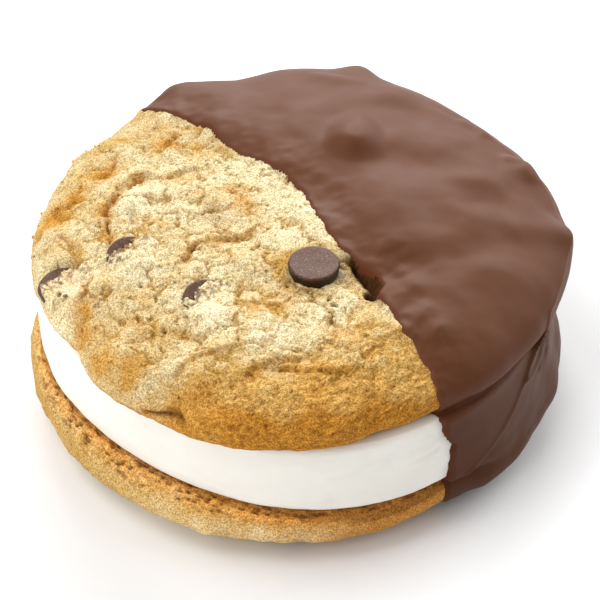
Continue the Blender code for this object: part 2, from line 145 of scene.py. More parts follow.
# Crevices between flakes: depth, half-width and the step up on the left of a path of points.
CREVICES = (
    (1.2, 0.50, 0.6, ((-29.6, -3.5), (-30.3, 1), (-30.2, 4.4), (-28.4, 8.3), (-25.7, 9.9))),
    (0.5, 0.40, 0.4, ((-25.7, 9.9), (-22.1, 10.6), (-16.5, 12.5))),
    (1.1, 0.70, 0, ((-41, 1.5), (-38.2, 5.4), (-35.6, 8))),
    (0.9, 0.60, 0, ((-31.6, 12), (-29.6, 13.4), (-29.2, 16.8))),
    (0.8, 0.40, 0.4, ((-17.8, -9.2), (-15.4, -6.2), (-10.5, -4.8), (-8, -3))),
    (0.9, 0.80, 0, ((-33.5, -23), (-32.7, -16.5), (-33.8, -11.8))),
    (0.6, 0.35, 0.3, ((-16.8, -31.8), (-13.3, -29.8), (-10.6, -29.2))),
    (0.8, 0.35, 0.4, ((-3.2, -32.9), (0.6, -33.4), (6.3, -33.6))),
    (0.6, 0.35, 0.3, ((-8.3, -34.4), (-4.5, -32.4), (0, -30.4))),
    (0.5, 0.35, 0.2, ((2.8, -29.4), (3.8, -25.8), (4.6, -23.4))),
    (0.9, 0.60, 0, ((-22.4, 18.2), (-20.9, 20.4), (-19.8, 23.4))),
    (0.5, 0.30, 0.3, ((-13, 18), (-10.2, 16.4), (-8, 13.6))),
    (0.4, 0.30, 0.2, ((0.4, -4.4), (4, -2.4), (8.4, 0.2))),
    (0.5, 0.30, 0.2, ((10.5, -29.5), (13.5, -27), (16, -24))),
    (0.4, 0.30, 0.2, ((-24, -25.5), (-19.5, -24.4), (-16, -25.2))),
    (0.5, 0.35, 0.3, ((-37.5, -1), (-34.6, -4), (-34.4, -7))),
)
# The crevice in the upper rim at the front left, as degrees round the axis and height.
RIM_CREVICE = ((-121.2, 25.3), (-119, 25.8), (-116.5, 26.4), (-114.2, 26.7), (-112.6, 26.5))

# Small holes in the crust: x, y, depth and half-width.
HOLES = (
    (11.1, -17.4, 2.2, 1.30), (4.6, -18.4, 1.2, 0.42), (5.4, -19.6, 1.3, 0.50),
    (-1.9, -15.6, 0.9, 0.45), (-16.2, -7.4, 1, 0.42), (-13.2, -6.8, 0.7, 0.40),
    (-24.6, -14.6, 0.9, 0.45), (-37.6, -14.2, 1.4, 0.60), (-36.2, -14.6, 1.2, 0.50),
    (-20.6, -24.4, 0.9, 0.42), (-30.4, -18.5, 0.7, 0.40), (-33, 6, 0.7, 0.40),
    (-12, 23.4, 0.9, 0.42), (-9, 25.6, 0.8, 0.40), (1.6, 12.2, 0.9, 0.45), (-3.2, -31.2, 0.7, 0.40),
)

# The ragged pit between a chip and the coating: depth, half-width and path.
PIT = (1.7, 1, ((11.6, -16.8), (10.9, -15), (10, -12.8), (9, -11.2)))

# Browner patches, greyer ones, coarse crumbly ones and paler ones: x, y, amount and half-width.
BROWN = (
    (-38.6, 4, 1, 2.2), (-35.2, 8.6, 0.8, 2.2), (-30.6, 12.6, 0.8, 2.2), (-30.4, 3, 0.7, 1.4),
    (-22, 20, 0.7, 1.7), (-16.5, 19.5, 0.6, 1.6), (-8.6, 3.2, 0.9, 2.2), (-16, 5, 0.5, 1.6),
    (-33, -18, 0.9, 2), (-32.5, -22, 0.7, 1.8), (-25, -22.5, 0.5, 2), (-30, -28, 0.7, 2.2),
    (-25.5, -31.5, 0.9, 2), (-15.5, -37, 0.7, 3), (-16.5, -41, 0.7, 3), (-11, 6.5, 0.4, 1.6),
    (-37.5, -3, 0.4, 2.2), (-6.5, -34, 0.4, 2), (1.5, -31.8, 0.4, 2), (8.3, -26.5, 0.5, 4),
    (-24, 22, 0.2, 4.5), (-17, 24.5, 0.5, 1.8), (12, -30, 0.4, 2), (-20, 23, 0.15, 6),
    (-24, -16, 0.4, 1.6), (-3, -19.8, 0.5, 2.4), (-7.4, -21, 0.4, 2), (2, -36.5, 0.5, 3.4),
    (9.5, -36, 0.5, 3),
)
GREY = ((-13.2, -0.2, 1, 2.8), (-24, -10.4, 0.4, 2.2), (-35, -12, 0.5, 2.2))
CRUMBLY = ((8.6, -14.6, 0.8, 2.4), (7.2, -11, 0.6, 1.6))
PALE = (
    (-13, -21.8, 0.8, 3.4), (-4, -26.4, 0.9, 2.8), (-25, 5.5, 0.5, 4.5), (4.5, 3, 0.4, 5.5),
    (-5, 13, 0.4, 4.5), (5, -22.5, 0.5, 4), (-23.6, -11.4, 0.6, 2.4), (-34.6, -12.6, 0.7, 2.4),
    (-37, -24, 0.4, 3), (-37.5, -18, 0.5, 3), (1, -3.5, 0.6, 4),
)

# Chips: x, y and depth of the base's middle below the plain crust, then the base's tilt in
# degrees and the direction that it tilts toward.
CHIP_RADIUS = 4.0
CHIP_HEIGHT = 5.0
CHIP_CORNER = 0.42
# The chip's flank below its rounded corner: radius and depth, as shares of its own.
CHIP_FLANK = (
    (0.985, 0.22), (0.96, 0.38), (0.86, 0.54), (0.68, 0.68), (0.46, 0.84), (0.25, 0.95), (0, 1),
)
UPPER_CHIPS = (
    (2.1, -12.1, -1, 1, 270),
    (-25.9, -8, 0.6, 22, 300),
    (-13.9, -18.4, 0.8, 22, 300),
    (-36.6, -10.9, 0.9, 10, 192),
)
LOWER_CHIPS = (
    (-34, 12.5, 0.3, 17, 160),
    (-26.5, -23, 0.4, 19, 221),
    (-1.5, -35, 0.3, 18, 268),
)
# How the dough laps over each half-sunk chip: the direction that its bare arc faces in degrees,
# and how far from the chip's middle the dough's lip is.
LAPS = {1: (136, 2.4), 2: (138, 2.4), 3: (118, 1.9)}
# The oily ring that the whole chip leaves on the dough: its middle, radius and half-width.
RING = ((2.1, -12.6), 5.2, 1.5)

# Smears on the cream's wall: x, y, z, amount and half-width.
SMEARS = (
    (14, -38.6, 19, -0.35, 1.6), (5.5, -40.8, 12.6, -0.3, 1.3), (18, -37, 20.4, 0.3, 1.2),
    (-22, -33.5, 14, -0.15, 2.4), (19.5, -36.2, 15.6, -0.3, 1),
)
# Thin folds of the cream beside the coating: heights of the left and right end, and the left's x.
CREAM_FOLDS = ((17.6, 19.2, 15.6), (16.4, 17.8, 17.2))
# Loose crumbs: their number, the smallest radius and how much larger the largest is.
LOOSE_CRUMBS = 700
LOOSE_CRUMB_SIZE = (0.10, 0.18)

# How far under the coating the crust's large forms fade out.
SWELL_REACH = 10.0

# How far past its ends the dipped side still counts as such, as a cosine.
DIPPED_SIDE_REACH = 0.2

# Length of a degree round the stack's wall.
MM_PER_DEGREE = 0.73

# The lights, in metres and watts: name, place, size and power.
LIGHTS = (
    ("back_window", (0.0, 0.8, 0.45), 0.6, 7.7),
    ("back_right_window", (0.6, 0.6, 0.5), 0.6, 5.9),
    ("ceiling", (-0.45, 0.0, 0.75), 0.7, 5.35),
    ("front_reflector", (-0.6, -0.6, 0.5), 0.6, 5.0),
    ("right_reflector", (0.8, 0.0, 0.45), 0.6, 2.4),
)
LIGHT_TARGET = (0.0, 0.0, 0.02)
ROOM_LIGHT = 0.15

# The camera, fitted to the photograph, in metres but for its lens and sensor.
CAMERA_ELEVATION = math.radians(41.0)
CAMERA_DISTANCE = 0.560
CAMERA_TARGET = (0.0, -0.0009, 0.016)
CAMERA_LENS = 211.7


def linear(*rgb):
    """Linear colour of 8-bit display values."""
    return np.array([(v / 255 / 12.92) if v < 11 else ((v / 255 + 0.055) / 1.055) ** 2.4 for v in rgb])


CRUMB_PALE = linear(212, 201, 165)
CRUMB_UNDER = linear(208, 181, 130)
CRUMB_GOLD = linear(191, 156, 92)
CRUMB_AMBER = linear(187, 134, 54)
CRUMB_BROWN = linear(177, 122, 45)
CRUMB_RUST = linear(190, 132, 60)
CRUMB_SEAM = linear(158, 120, 50)
# Painted shade, for holes, pores, deep cracks and the line along the cream.
CRUMB_SHADE = linear(104, 60, 22)
# Deeper painted shade, for the pit.
CRUMB_PIT_SHADE = linear(66, 40, 18)
CRUMB_GREY = linear(196, 176, 140)
CRUMB_FLOUR = linear(238, 224, 190)
CRUMB_OILY = linear(174, 134, 60)
CHIP_SMEAR = linear(108, 82, 68)
# The coating's tint at its thin edge, on a scale where 1 is the chocolate's own colour.
THIN_COAT = np.array([1.25, 0.85, 0.6])
# Changes of red, green and blue, as shares: fine specks, the far side of the upper crust, painted light
# on the near front and painted shade on the left of the lower cookie, and painted shade on the coat's wall.
SPECK_CHANGE = (0.9, 1.1, 1.5)
FAR_CHANGE = (-0.08, -0.05, 0.0)
NEAR_PAINTED_LIGHT = (0.14, 0.20, 0.36)
LEFT_PAINTED_SHADE = (-0.10, -0.15, -0.24)
WALL_PAINTED_SHADE = (-0.29, -0.40, -0.54)


def fineness(full):
    return full


def ramp(low, high, value):
    """A soft ramp from 0 at low to 1 at high."""
    share = np.clip((value - low) / (high - low), 0.0, 1.0)
    return share * share * (3.0 - 2.0 * share)


def bell(away, width):
    """1 where away is 0, falling softly to 0 past the width."""
    return np.exp(-((away / width) ** 2))


def plan_polar(points, centre=(0.0, 0.0)):
    """Distance and angle of points from a centre, in plan."""
    dx, dy = points[:, 0] - centre[0], points[:, 1] - centre[1]
    return np.hypot(dx, dy), np.arctan2(dy, dx)


def lobed(angle, radius, lobes, bulges=()):
    """A round outline with swells, as lobes, amount and the angle of one lobe in degrees, and
    with single bulges, as their angle, amount and half-width in degrees."""
    swells = sum(a * np.cos(n * (angle - math.radians(at))) for n, a, at in lobes)
    turns = [((np.degrees(angle) - at + 180.0) % 360.0 - 180.0) / width for at, _, width in bulges]
    return radius + swells + sum(b[1] * np.exp(-turn**2) for b, turn in zip(bulges, turns))


def surface_share(line, weight=1.0, bend_weight=0.0):
    """Share of a turned surface above each point of its section, more where it bends."""
    step = np.diff(line, axis=0)
    length = np.hypot(step[:, 0], step[:, 1])
    bend = np.abs(np.gradient(np.unwrap(np.arctan2(step[:, 1], step[:, 0]))))
    area = (length + bend_weight * bend) * (line[1:, 0] + line[:-1, 0])
    weight = np.broadcast_to(weight, len(line))
    total = np.concatenate([[0.0], np.cumsum(area * (weight[1:] + weight[:-1]))])
    return total / total[-1]


class Cookie:
    """A round cookie with a domed crust on one side and a flat baked face on the other."""

    SAMPLES = 400
    CRUST_POWERS = (2.6, 2.4)
    FACE_POWERS = (16.0, 2.0)
    HIDDEN_FACE_SHARE = 0.15

    def __init__(self, radius, centre, lobes, bulges, rim_z, crust_z, face_z):
        self.radius, self.centre = radius, centre
        self.lobes, self.bulges = lobes, bulges
        self.face_z, self.crust_up = face_z, crust_z > face_z
        turn = np.linspace(0.0, math.pi / 2, self.SAMPLES)
        crust, face = self.quarter(turn, self.CRUST_POWERS), self.quarter(turn, self.FACE_POWERS)
        crust_line = np.stack([crust[0], rim_z + crust[1] * (crust_z - rim_z)], 1)
        face_line = np.stack([face[0], rim_z + face[1] * (face_z - rim_z)], 1)
        above, below = (crust_line, face_line) if self.crust_up else (face_line, crust_line)
        self.share, self.z = np.concatenate([above, below[-2::-1]]).T
        hidden = (np.abs(self.z - face_z) < 0.6) & (self.share < 0.9)
        weight = np.where(hidden, self.HIDDEN_FACE_SHARE, 1.0)
        self.table = surface_share(np.stack([self.share * radius, self.z], 1), weight)

    @staticmethod
    def quarter(turn, powers):
        return np.sin(turn) ** (2.0 / powers[0]), np.cos(turn) ** (2.0 / powers[1])

    def outline(self, angle):
        return lobed(angle, self.radius, self.lobes, self.bulges)

    def section(self, angle):
        shift = self.centre[0] * math.cos(angle) + self.centre[1] * math.sin(angle)
        middle = self.share < 0.1
        share = np.concatenate([self.share, -self.share[middle]])
        z = np.concatenate([self.z, self.z[middle]])
        return np.stack([share * self.outline(angle) + shift, z], 1)

    def wrap(self, sphere):
        """Points on the cookie's plain surface, and their normals, for points of a unit sphere."""
        angle = plan_polar(sphere)[1]
        above = (1.0 - sphere[:, 2]) / 2.0
        reach = np.interp(above, self.table, self.share) * self.outline(angle)
        z = np.interp(above, self.table, self.z)
        x, y = self.centre[0] + reach * np.cos(angle), self.centre[1] + reach * np.sin(angle)
        along = np.interp(above, self.table, np.gradient(self.share * self.radius))
        rise = np.interp(above, self.table, np.gradient(self.z))
        length = np.hypot(along, rise)
        normal = np.stack([-rise * np.cos(angle), -rise * np.sin(angle), along], 1)
        return np.stack([x, y, z], 1), normal / length[:, None]

    def reach(self, points):
        """Distance from the axis as a share of the outline, for points in plan."""
        distance, angle = plan_polar(points, self.centre)
        return distance / self.outline(angle)

    def crust_height(self, x, y):
        """Height of the plain crust at x, y."""
        at = float(self.reach(np.array([[x, y]]))[0])
        half = slice(None, self.SAMPLES) if self.crust_up else slice(None, -self.SAMPLES - 1, -1)
        return float(np.interp(at, self.share[half], self.z[half]))


UPPER = Cookie(
    radius=41.9,
    centre=(-1.0, 0.1),
    lobes=((2, 1.0, 82.0), (3, 0.5, 9.0), (4, 0.7, -5.0), (6, 0.35, 16.0)),
    bulges=((104, -0.9, 8), (120, 1.0, 8), (137, -1.0, 6), (212, -1.0, 7), (226, 0.9, 7), (279, 0.7, 6)),
    rim_z=25.3,
    crust_z=33.3,
    face_z=22.5,
)
LOWER = Cookie(
    radius=42.2,
    centre=(-1.2, -0.1),
    lobes=((2, 0.5, 74.0), (3, 0.4, 35.0)),
    bulges=((306, -1.2, 9), (338, -0.6, 12)),
    rim_z=6.2,
    crust_z=-1.6,
    face_z=10.0,
)


def dip_depth(x, y):
    """Distance past the coating's edge, into the dipped half."""
    across = x * DIP_NORMAL[0] + y * DIP_NORMAL[1]
    along = x * DIP_ALONG[0] + y * DIP_ALONG[1]
    return across - np.interp(along, *zip(*DIP_EDGE))


def mounds(points, places):
    """Sum of rounded mounds at places that end in an amount and a half-width."""
    total = np.zeros(len(points))
    for *centre, amount, width in places:
        away = np.sum((points[:, : len(centre)] - centre) ** 2, axis=1)
        total += amount * np.exp(-away / width**2)
    return total


def fractal(points, span, seed, octaves=3):
    """Soft noise between about -1 and 1 with features of the given span."""
    shift = np.array([seed, 0.7 * seed, -1.3 * seed])
    return np.array([noise.fractal(p, 1.0, 2.1, octaves) for p in (points / span + shift).tolist()])


def pebbles(points, span, seed):
    """Rounded grains of the given span: 0.5 on their tops, and down to about -0.5 between them."""
    shift = np.array([seed, 1.7 * seed, -0.6 * seed])
    near = np.array([noise.voronoi(p)[0][0] for p in (points / span + shift).tolist()])
    return 0.5 - near**1.5


def veins(points, span, seed, width):
    """Thin wandering lines: 1 on them and 0 away from them."""
    return bell(fractal(points, span, seed, 2), width)


def flakes(points, span, seed):
    """A surface broken into flakes: how far each point is from a seam, as a share of the span, and
    the level of its flake, between about -1 and 1."""
    shift = np.array([seed, 1.3 * seed, -0.8 * seed])
    found = [noise.voronoi(p) for p in (points / span + shift).tolist()]
    gap = np.array([near[1] - near[0] for near, _ in found])
    return gap, np.array([noise.noise(places[0] * 5.3) for _, places in found])


def path_distance(points, path):
    """Distance of each point to a path in plan, and the side that it lies on, 1 on the left."""
    nearest, side = np.full(len(points), 1e9), np.zeros(len(points))
    for start, end in zip(np.array(path), np.array(path)[1:]):
        run, offset = end - start, points[:, :2] - start
        share = np.clip(offset @ run / (run @ run), 0.0, 1.0)
        away = np.hypot(*(offset - share[:, None] * run).T)
        left = np.sign(run[0] * offset[:, 1] - run[1] * offset[:, 0])
        side = np.where(away < nearest, left, side)
        nearest = np.minimum(nearest, away)
    return nearest, side


def wall_distance(turn, z, path):
    """Distance on the stack's wall to a path, all of them as degrees round it and height."""
    unrolled = np.stack([turn * MM_PER_DEGREE, z], 1)
    return path_distance(unrolled, np.array(path) * (MM_PER_DEGREE, 1.0))[0]


def quad_sphere(cuts, toward, crowding):
    """Points and quads of a cube's surface grid, puffed out to a unit sphere and crowded
    toward one direction by a conformal map, so that most faces lie where they show."""
    steps = np.linspace(-1.0, 1.0, cuts + 1)
    u, v = np.meshgrid(steps, steps, indexing="ij")
    one = np.ones_like(u)
    sides = ((one, u, v), (-one, v, u), (v, one, u), (u, -one, v), (u, v, one), (v, u, -one))
    grid = np.concatenate([np.stack(side, 2).reshape(-1, 3) for side in sides])
    keys, index = np.unique(np.round(grid * cuts).astype(int), axis=0, return_inverse=True)
    index = index.reshape(6, cuts + 1, cuts + 1)
    corners = (index[:, :-1, :-1], index[:, 1:, :-1], index[:, 1:, 1:], index[:, :-1, 1:])
    quads = np.stack(corners, 3).reshape(-1, 4)
    points = np.tan(keys / cuts * math.pi / 4.0)
    points /= np.linalg.norm(points, axis=1)[:, None]
    toward = np.array(toward) / np.linalg.norm(toward)
    level = points @ toward
    ratio = (1.0 - level) / np.maximum(1.0 + level, 1e-9) / crowding**2
    moved = (1.0 - ratio) / (1.0 + ratio)
    shrink = np.sqrt((1.0 - moved**2) / np.maximum(1.0 - level**2, 1e-12))
    return moved[:, None] * toward + shrink[:, None] * (points - level[:, None] * toward), quads


def point_normals(points, quads):
    """Outward normal at each point of a surface of quads."""
    across, along = points[quads[:, 2]] - points[quads[:, 0]], points[quads[:, 3]] - points[quads[:, 1]]
    facing = np.cross(across, along)
    normals = np.zeros_like(points)
    for corner in range(4):
        np.add.at(normals, quads[:, corner], facing)
    return normals / np.linalg.norm(normals, axis=1)[:, None]


def part_of(quads, keep):
    """The points that the kept quads use, and those quads numbered anew."""
    used, quads = np.unique(quads[keep], return_inverse=True)
    return used, quads.reshape(-1, 4)


def drum(profile, columns):
    """Points and faces of a profile, from its top pole to its bottom pole, turned about Z."""
    rows = len(profile) - 2
    turns = np.linspace(0.0, 2 * math.pi, columns, endpoint=False)
    ring = np.stack([np.cos(turns), np.sin(turns)], 1)
    body = [np.column_stack([ring * r, np.full(columns, z)]) for r, z in profile[1:-1]]
    points = np.concatenate(body + [[[0.0, 0.0, profile[0][1]], [0.0, 0.0, profile[-1][1]]]])
    faces = []
    for column in range(columns):
        beside = (column + 1) % columns
        faces.append((rows * columns, column, beside))
        for row in range(rows - 1):
            here, below = row * columns, (row + 1) * columns
            faces.append((here + column, below + column, below + beside, here + beside))
        last = (rows - 1) * columns
        faces.append((rows * columns + 1, last + beside, last + column))
    return points, faces


def make_piece(name, points, faces, material, colours=None):
    """An object in place on the model, from points in the lengths used here."""
    mesh = bpy.data.meshes.new(name)
    faces = faces.tolist() if isinstance(faces, np.ndarray) else faces
    mesh.from_pydata(((points - ORIGIN) * MM).tolist(), [], faces)
    if colours is not None:
        tint = mesh.color_attributes.new("tint", "FLOAT_COLOR", "POINT")
        rgba = np.column_stack([np.clip(colours, 0.0, 1.0), np.ones(len(points))])
        tint.data.foreach_set("color", rgba.astype(np.float32).ravel())
    mesh.materials.append(material)
    mesh.validate()
    mesh.shade_smooth()
    piece = bpy.data.objects.new(name, mesh)
    bpy.context.scene.collection.objects.link(piece)
    return piece


class Nodes:
    """A new material whose shader nodes are added one by one."""

    def __init__(self, name):
        self.material = bpy.data.materials.new(name)
        self.material.use_nodes = True
        self.tree = self.material.node_tree
        self.shader = self.tree.nodes["Principled BSDF"]
        self.place = self.add("ShaderNodeTexCoord").outputs["Object"]

    def add(self, kind, inputs=None, **settings):
        node = self.tree.nodes.new(kind)
        for key, value in settings.items():
            setattr(node, key, value)
        for key, value in (inputs or {}).items():
            self.plug(node.inputs[key], value)
        return node

    def plug(self, socket, value):
        """Links a socket to another node's, or sets its value."""
        if isinstance(value, bpy.types.NodeSocket):
            self.tree.links.new(value, socket)
        else:
            socket.default_value = value

    def tint(self):
        return self.add("ShaderNodeAttribute", attribute_name="tint").outputs["Color"]

    def noise(self, span_mm, detail=2.0, roughness=0.5, offset=0.0):
        """Noise with features of the given span, between 0 and 1."""
        return self.add(
            "ShaderNodeTexNoise",
            {"Vector": self.place, "Scale": 1.0 / (span_mm * MM), "Detail": detail,
             "Roughness": roughness, "W": offset},
            noise_dimensions="4D",
        ).outputs["Fac"]

    def remap(self, value, low, high, to_low=0.0, to_high=1.0):
        inputs = {0: value, 1: low, 2: high, 3: to_low, 4: to_high}
        return self.add("ShaderNodeMapRange", inputs).outputs[0]

    def mix(self, share, first, second, blend="MIX"):
        pair = [c if isinstance(c, bpy.types.NodeSocket) else (*c, 1.0) for c in (first, second)]
        inputs = {0: share, 6: pair[0], 7: pair[1]}
        return self.add("ShaderNodeMix", inputs, data_type="RGBA", blend_type=blend).outputs[2]

    def bump(self, height, distance_mm, strength=1.0, after=None):
        inputs = {"Height": height, "Distance": distance_mm * MM, "Strength": strength}
        if after is not None:
            inputs["Normal"] = after
        return self.add("ShaderNodeBump", inputs).outputs["Normal"]

    def set(self, **values):
        """Sets or links the shader's own sockets, with _ for a space in their names."""
        for key, value in values.items():
            self.plug(self.shader.inputs[key.replace("_", " ")], value)
        return self.material


def crumb_material(name):
    """Baked dough: the tint of each point, broken up by fine grains."""
    nodes = Nodes(name)
    grain, fleck = nodes.noise(0.26, 1.5, 0.6), nodes.noise(0.6, 2.0, 0.6, 3.0)
    light = nodes.mix(nodes.remap(grain, 0.50, 0.62), nodes.tint(), (1.33, 1.34, 1.34), "MULTIPLY")
    dark = nodes.mix(nodes.remap(grain, 0.50, 0.37), light, (0.67, 0.55, 0.38), "MULTIPLY")
    colour = nodes.mix(nodes.remap(fleck, 0.50, 0.34), dark, (0.88, 0.80, 0.64), "MULTIPLY")
    bumps = nodes.bump(grain, 0.10, 1.0)
    bumps = nodes.bump(fleck, 0.12, 0.5, bumps)
    return nodes.set(
        Base_Color=colour, Roughness=0.9, Specular_IOR_Level=0.1, Normal=bumps,
        Subsurface_Weight=0.1, Subsurface_Radius=(1.0, 0.55, 0.25), Subsurface_Scale=0.0008,
    )


def chocolate_material(name):
    """Set milk chocolate, with a soft and slightly uneven sheen."""
    nodes = Nodes(name)
    cloud, fine = nodes.noise(7.0), nodes.noise(0.9, 2.0, 0.5, 2.0)
    colour = nodes.mix(cloud, linear(91, 51, 31), linear(100, 58, 36))
    colour = nodes.mix(1.0, colour, nodes.tint(), "MULTIPLY")
    bumps = nodes.bump(fine, 0.012, 0.6)
    return nodes.set(
        Base_Color=colour, Roughness=nodes.remap(cloud, 0.3, 0.7, 0.52, 0.60),
        Specular_IOR_Level=0.24, Specular_Tint=(1.0, 0.68, 0.50, 1.0), Normal=bumps,
    )


def chip_material(name):
    """Darker chocolate, dulled by heat and dusted with fine crumbs."""
    nodes = Nodes(name)
    dust, cloud = nodes.noise(0.25, 3.0, 0.7), nodes.noise(2.5, 2.0, 0.5, 5.0)
    colour = nodes.mix(cloud, linear(72, 42, 30), linear(86, 53, 39))
    colour = nodes.mix(nodes.remap(dust, 0.52, 0.66, 0.0, 0.6), colour, linear(150, 122, 106))
    colour = nodes.mix(1.0, colour, nodes.tint(), "MULTIPLY")
    bumps = nodes.bump(dust, 0.12, 0.9)
    return nodes.set(
        Base_Color=colour, Roughness=0.46, Specular_IOR_Level=0.38,
        Specular_Tint=(1.0, 0.82, 0.70, 1.0), Normal=bumps,
    )


def cream_material(name):
    """White whipped cream, slightly translucent and satin."""
    nodes = Nodes(name)
    cloud, fine = nodes.noise(5.0), nodes.noise(1.2, 2.0, 0.5, 4.0)
    colour = nodes.mix(cloud, linear(234, 231, 222), linear(240, 237, 229))
    bumps = nodes.bump(fine, 0.03, 0.5)
    return nodes.set(
        Base_Color=colour, Roughness=0.5, Specular_IOR_Level=0.35, Normal=bumps,
        Subsurface_Weight=0.3, Subsurface_Radius=(1.0, 0.9, 0.8), Subsurface_Scale=0.002,
    )


def chip_frame(cookie, x, y, sunk, tilt, toward):
    """Placement of a chip: its base's middle, and the turn that takes Z to the base's normal."""
    up = 1.0 if cookie.crust_up else -1.0
    lean = tilt if cookie.crust_up else 180.0 - tilt
    turn = Euler((0.0, math.radians(lean), math.radians(toward))).to_matrix()
    middle = np.array([x, y, cookie.crust_height(x, y) - up * sunk])
    return middle, np.array(turn)


def plane_height(middle, turn, points):
    """Height of a chip's base plane at points in plan."""
    x, y, normal = points[:, 0] - middle[0], points[:, 1] - middle[1], turn[:, 2]
    return middle[2] - (x * normal[0] + y * normal[1]) / normal[2]


def layered(colours, layers):
    """Colours with more colours laid over them, each by its own amount at every point."""
    for amount, colour in layers:
        share = np.clip(amount, 0.0, 1.0)[:, None]
        colours = colours * (1.0 - share) + colour * share
    return colours


def changed(colours, amount, change):
    """Colours made lighter or darker by shares of red, green and blue."""
    return colours * (1.0 + amount[:, None] * np.array(change))


def speckled(colours, points, span, seed, amount):
    """Colours with fine specks of the given span."""
    speck = (amount * fractal(points, span, seed, 2))[:, None]
    return colours * np.clip(1.0 + speck * SPECK_CHANGE, 0.5, 1.5)


def wander(points):
    """The points moved about in plan, so that forms drawn with them get wavering outlines."""
    wavy = points.copy()
    for axis, seed in ((0, 21.0), (1, 33.0)):
        wavy[:, axis] += 0.9 * fractal(points, 3.2, seed, 2) + 0.40 * fractal(points, 1.1, seed + 3.0, 2)
    return wavy


def crust_swell(points):
    """The large soft forms of the upper crust."""
    swell = 0.75 * fractal(points, 11.0, 3.1) + 0.55 * fractal(points, 5.0, 8.4)
    return swell + mounds(points, RISES) - mounds(points, DIPS)


def crust_lumps(points, wavy, rim):
    """Height of the upper crust's fine grains, and of its lumps and crinkles."""
    patchy = ramp(-0.25, 0.35, fractal(points, 8.0, 27.0, 2))
    grains = 0.20 * pebbles(points, 0.9, 5.0) + 0.07 * fractal(points, 0.55, 17.0, 2)
    grains += 0.30 * mounds(points, CRUMBLY) * pebbles(points, 1.3, 6.0)
    lumps = 0.28 * (1.0 - 0.55 * rim) * patchy * pebbles(wavy, 2.7, 9.0)
    return grains, lumps + 0.18 * fractal(wavy, 2.6, 14.0)


def crust_seams(points, wavy, rim, on_top):
    """Height of the upper crust's large and small flakes, and depth of the seams between them."""
    gap, level = flakes(wavy, 4.4, 3.0)
    fine_gap, fine_level = flakes(wavy, 1.9, 7.0)
    is_open = ramp(-0.25, 0.25, fractal(points, 5.0, 66.0, 2))
    fine_is_open = ramp(-0.1, 0.35, fractal(points, 3.5, 68.0, 2))
    seams = 0.36 * is_open * bell(gap, 0.10) + 0.20 * fine_is_open * bell(fine_gap, 0.2)
    flatter = 1.0 - 0.7 * rim
    return (0.07 * level + 0.07 * fine_level) * flatter, seams * flatter * on_top


def crust_cracks(points, wavy, rim, on_top):
    """Depth of the upper crust's long and short cracks."""
    long_cracks = veins(wavy, 5.2, 4.0, 0.07) * ramp(-0.1, 0.3, fractal(points, 6.0, 6.0, 2))
    short_cracks = veins(wavy, 2.4, 12.0, 0.08) * ramp(0.0, 0.4, fractal(points, 4.5, 16.0, 2))
    return (0.50 * long_cracks + 0.32 * short_cracks) * (1.0 - 0.75 * rim) * on_top


def crust_crevices(points, wavy):
    """Depth of the crevices, how near they are for the browner dough beside them (partly real browning,
    partly painted shade), and the steps up across them."""
    crevice, glow, step = np.zeros((3, len(points)))
    broken = ramp(-0.45, 0.25, fractal(points, 2.4, 47.0, 2))
    for depth, width, lift, path in CREVICES:
        away, side = path_distance(wavy, path)
        crevice = np.maximum(crevice, depth * broken * bell(away, 0.8 * width))
        glow = np.maximum(glow, min(depth, 1.0) * bell(away, width + 0.6))
        step += 0.8 * lift * bell(away, 2.2) * np.clip(side * away / 0.25, -1.0, 1.0)
    return crevice, glow, step


def crust_holes(points):
    """Depth of the small holes and of the pit."""
    hole = np.zeros(len(points))
    for x, y, depth, width in HOLES:
        away = plan_polar(points, (x, y))[0]
        hole = np.maximum(hole, depth * np.exp(-((away / width) ** 3)))
    depth, width, path = PIT
    return np.maximum(hole, depth * bell(path_distance(points, path)[0], width))


def crust_relief(points, wavy, on_top):
    """Fine relief of the upper crust: its height, and what its colours follow."""
    rim = ramp(0.80, 0.98, UPPER.reach(points))
    grains, lumps = crust_lumps(points, wavy, rim)
    plates, seams = crust_seams(points, wavy, rim, on_top)
    cracks = crust_cracks(points, wavy, rim, on_top)
    crevice, glow, step = crust_crevices(points, wavy)
    hole = crust_holes((points + wavy) / 2.0)
    body = grains * (1.0 - 0.6 * ramp(0.2, 0.8, hole)) + lumps + plates
    height = body - seams - cracks - crevice + step - hole
    seams += 0.6 * cracks
    high = (body - seams) / 0.4
    return SimpleNamespace(height=height, high=high, seams=seams, crevice=crevice, glow=glow, hole=hole)


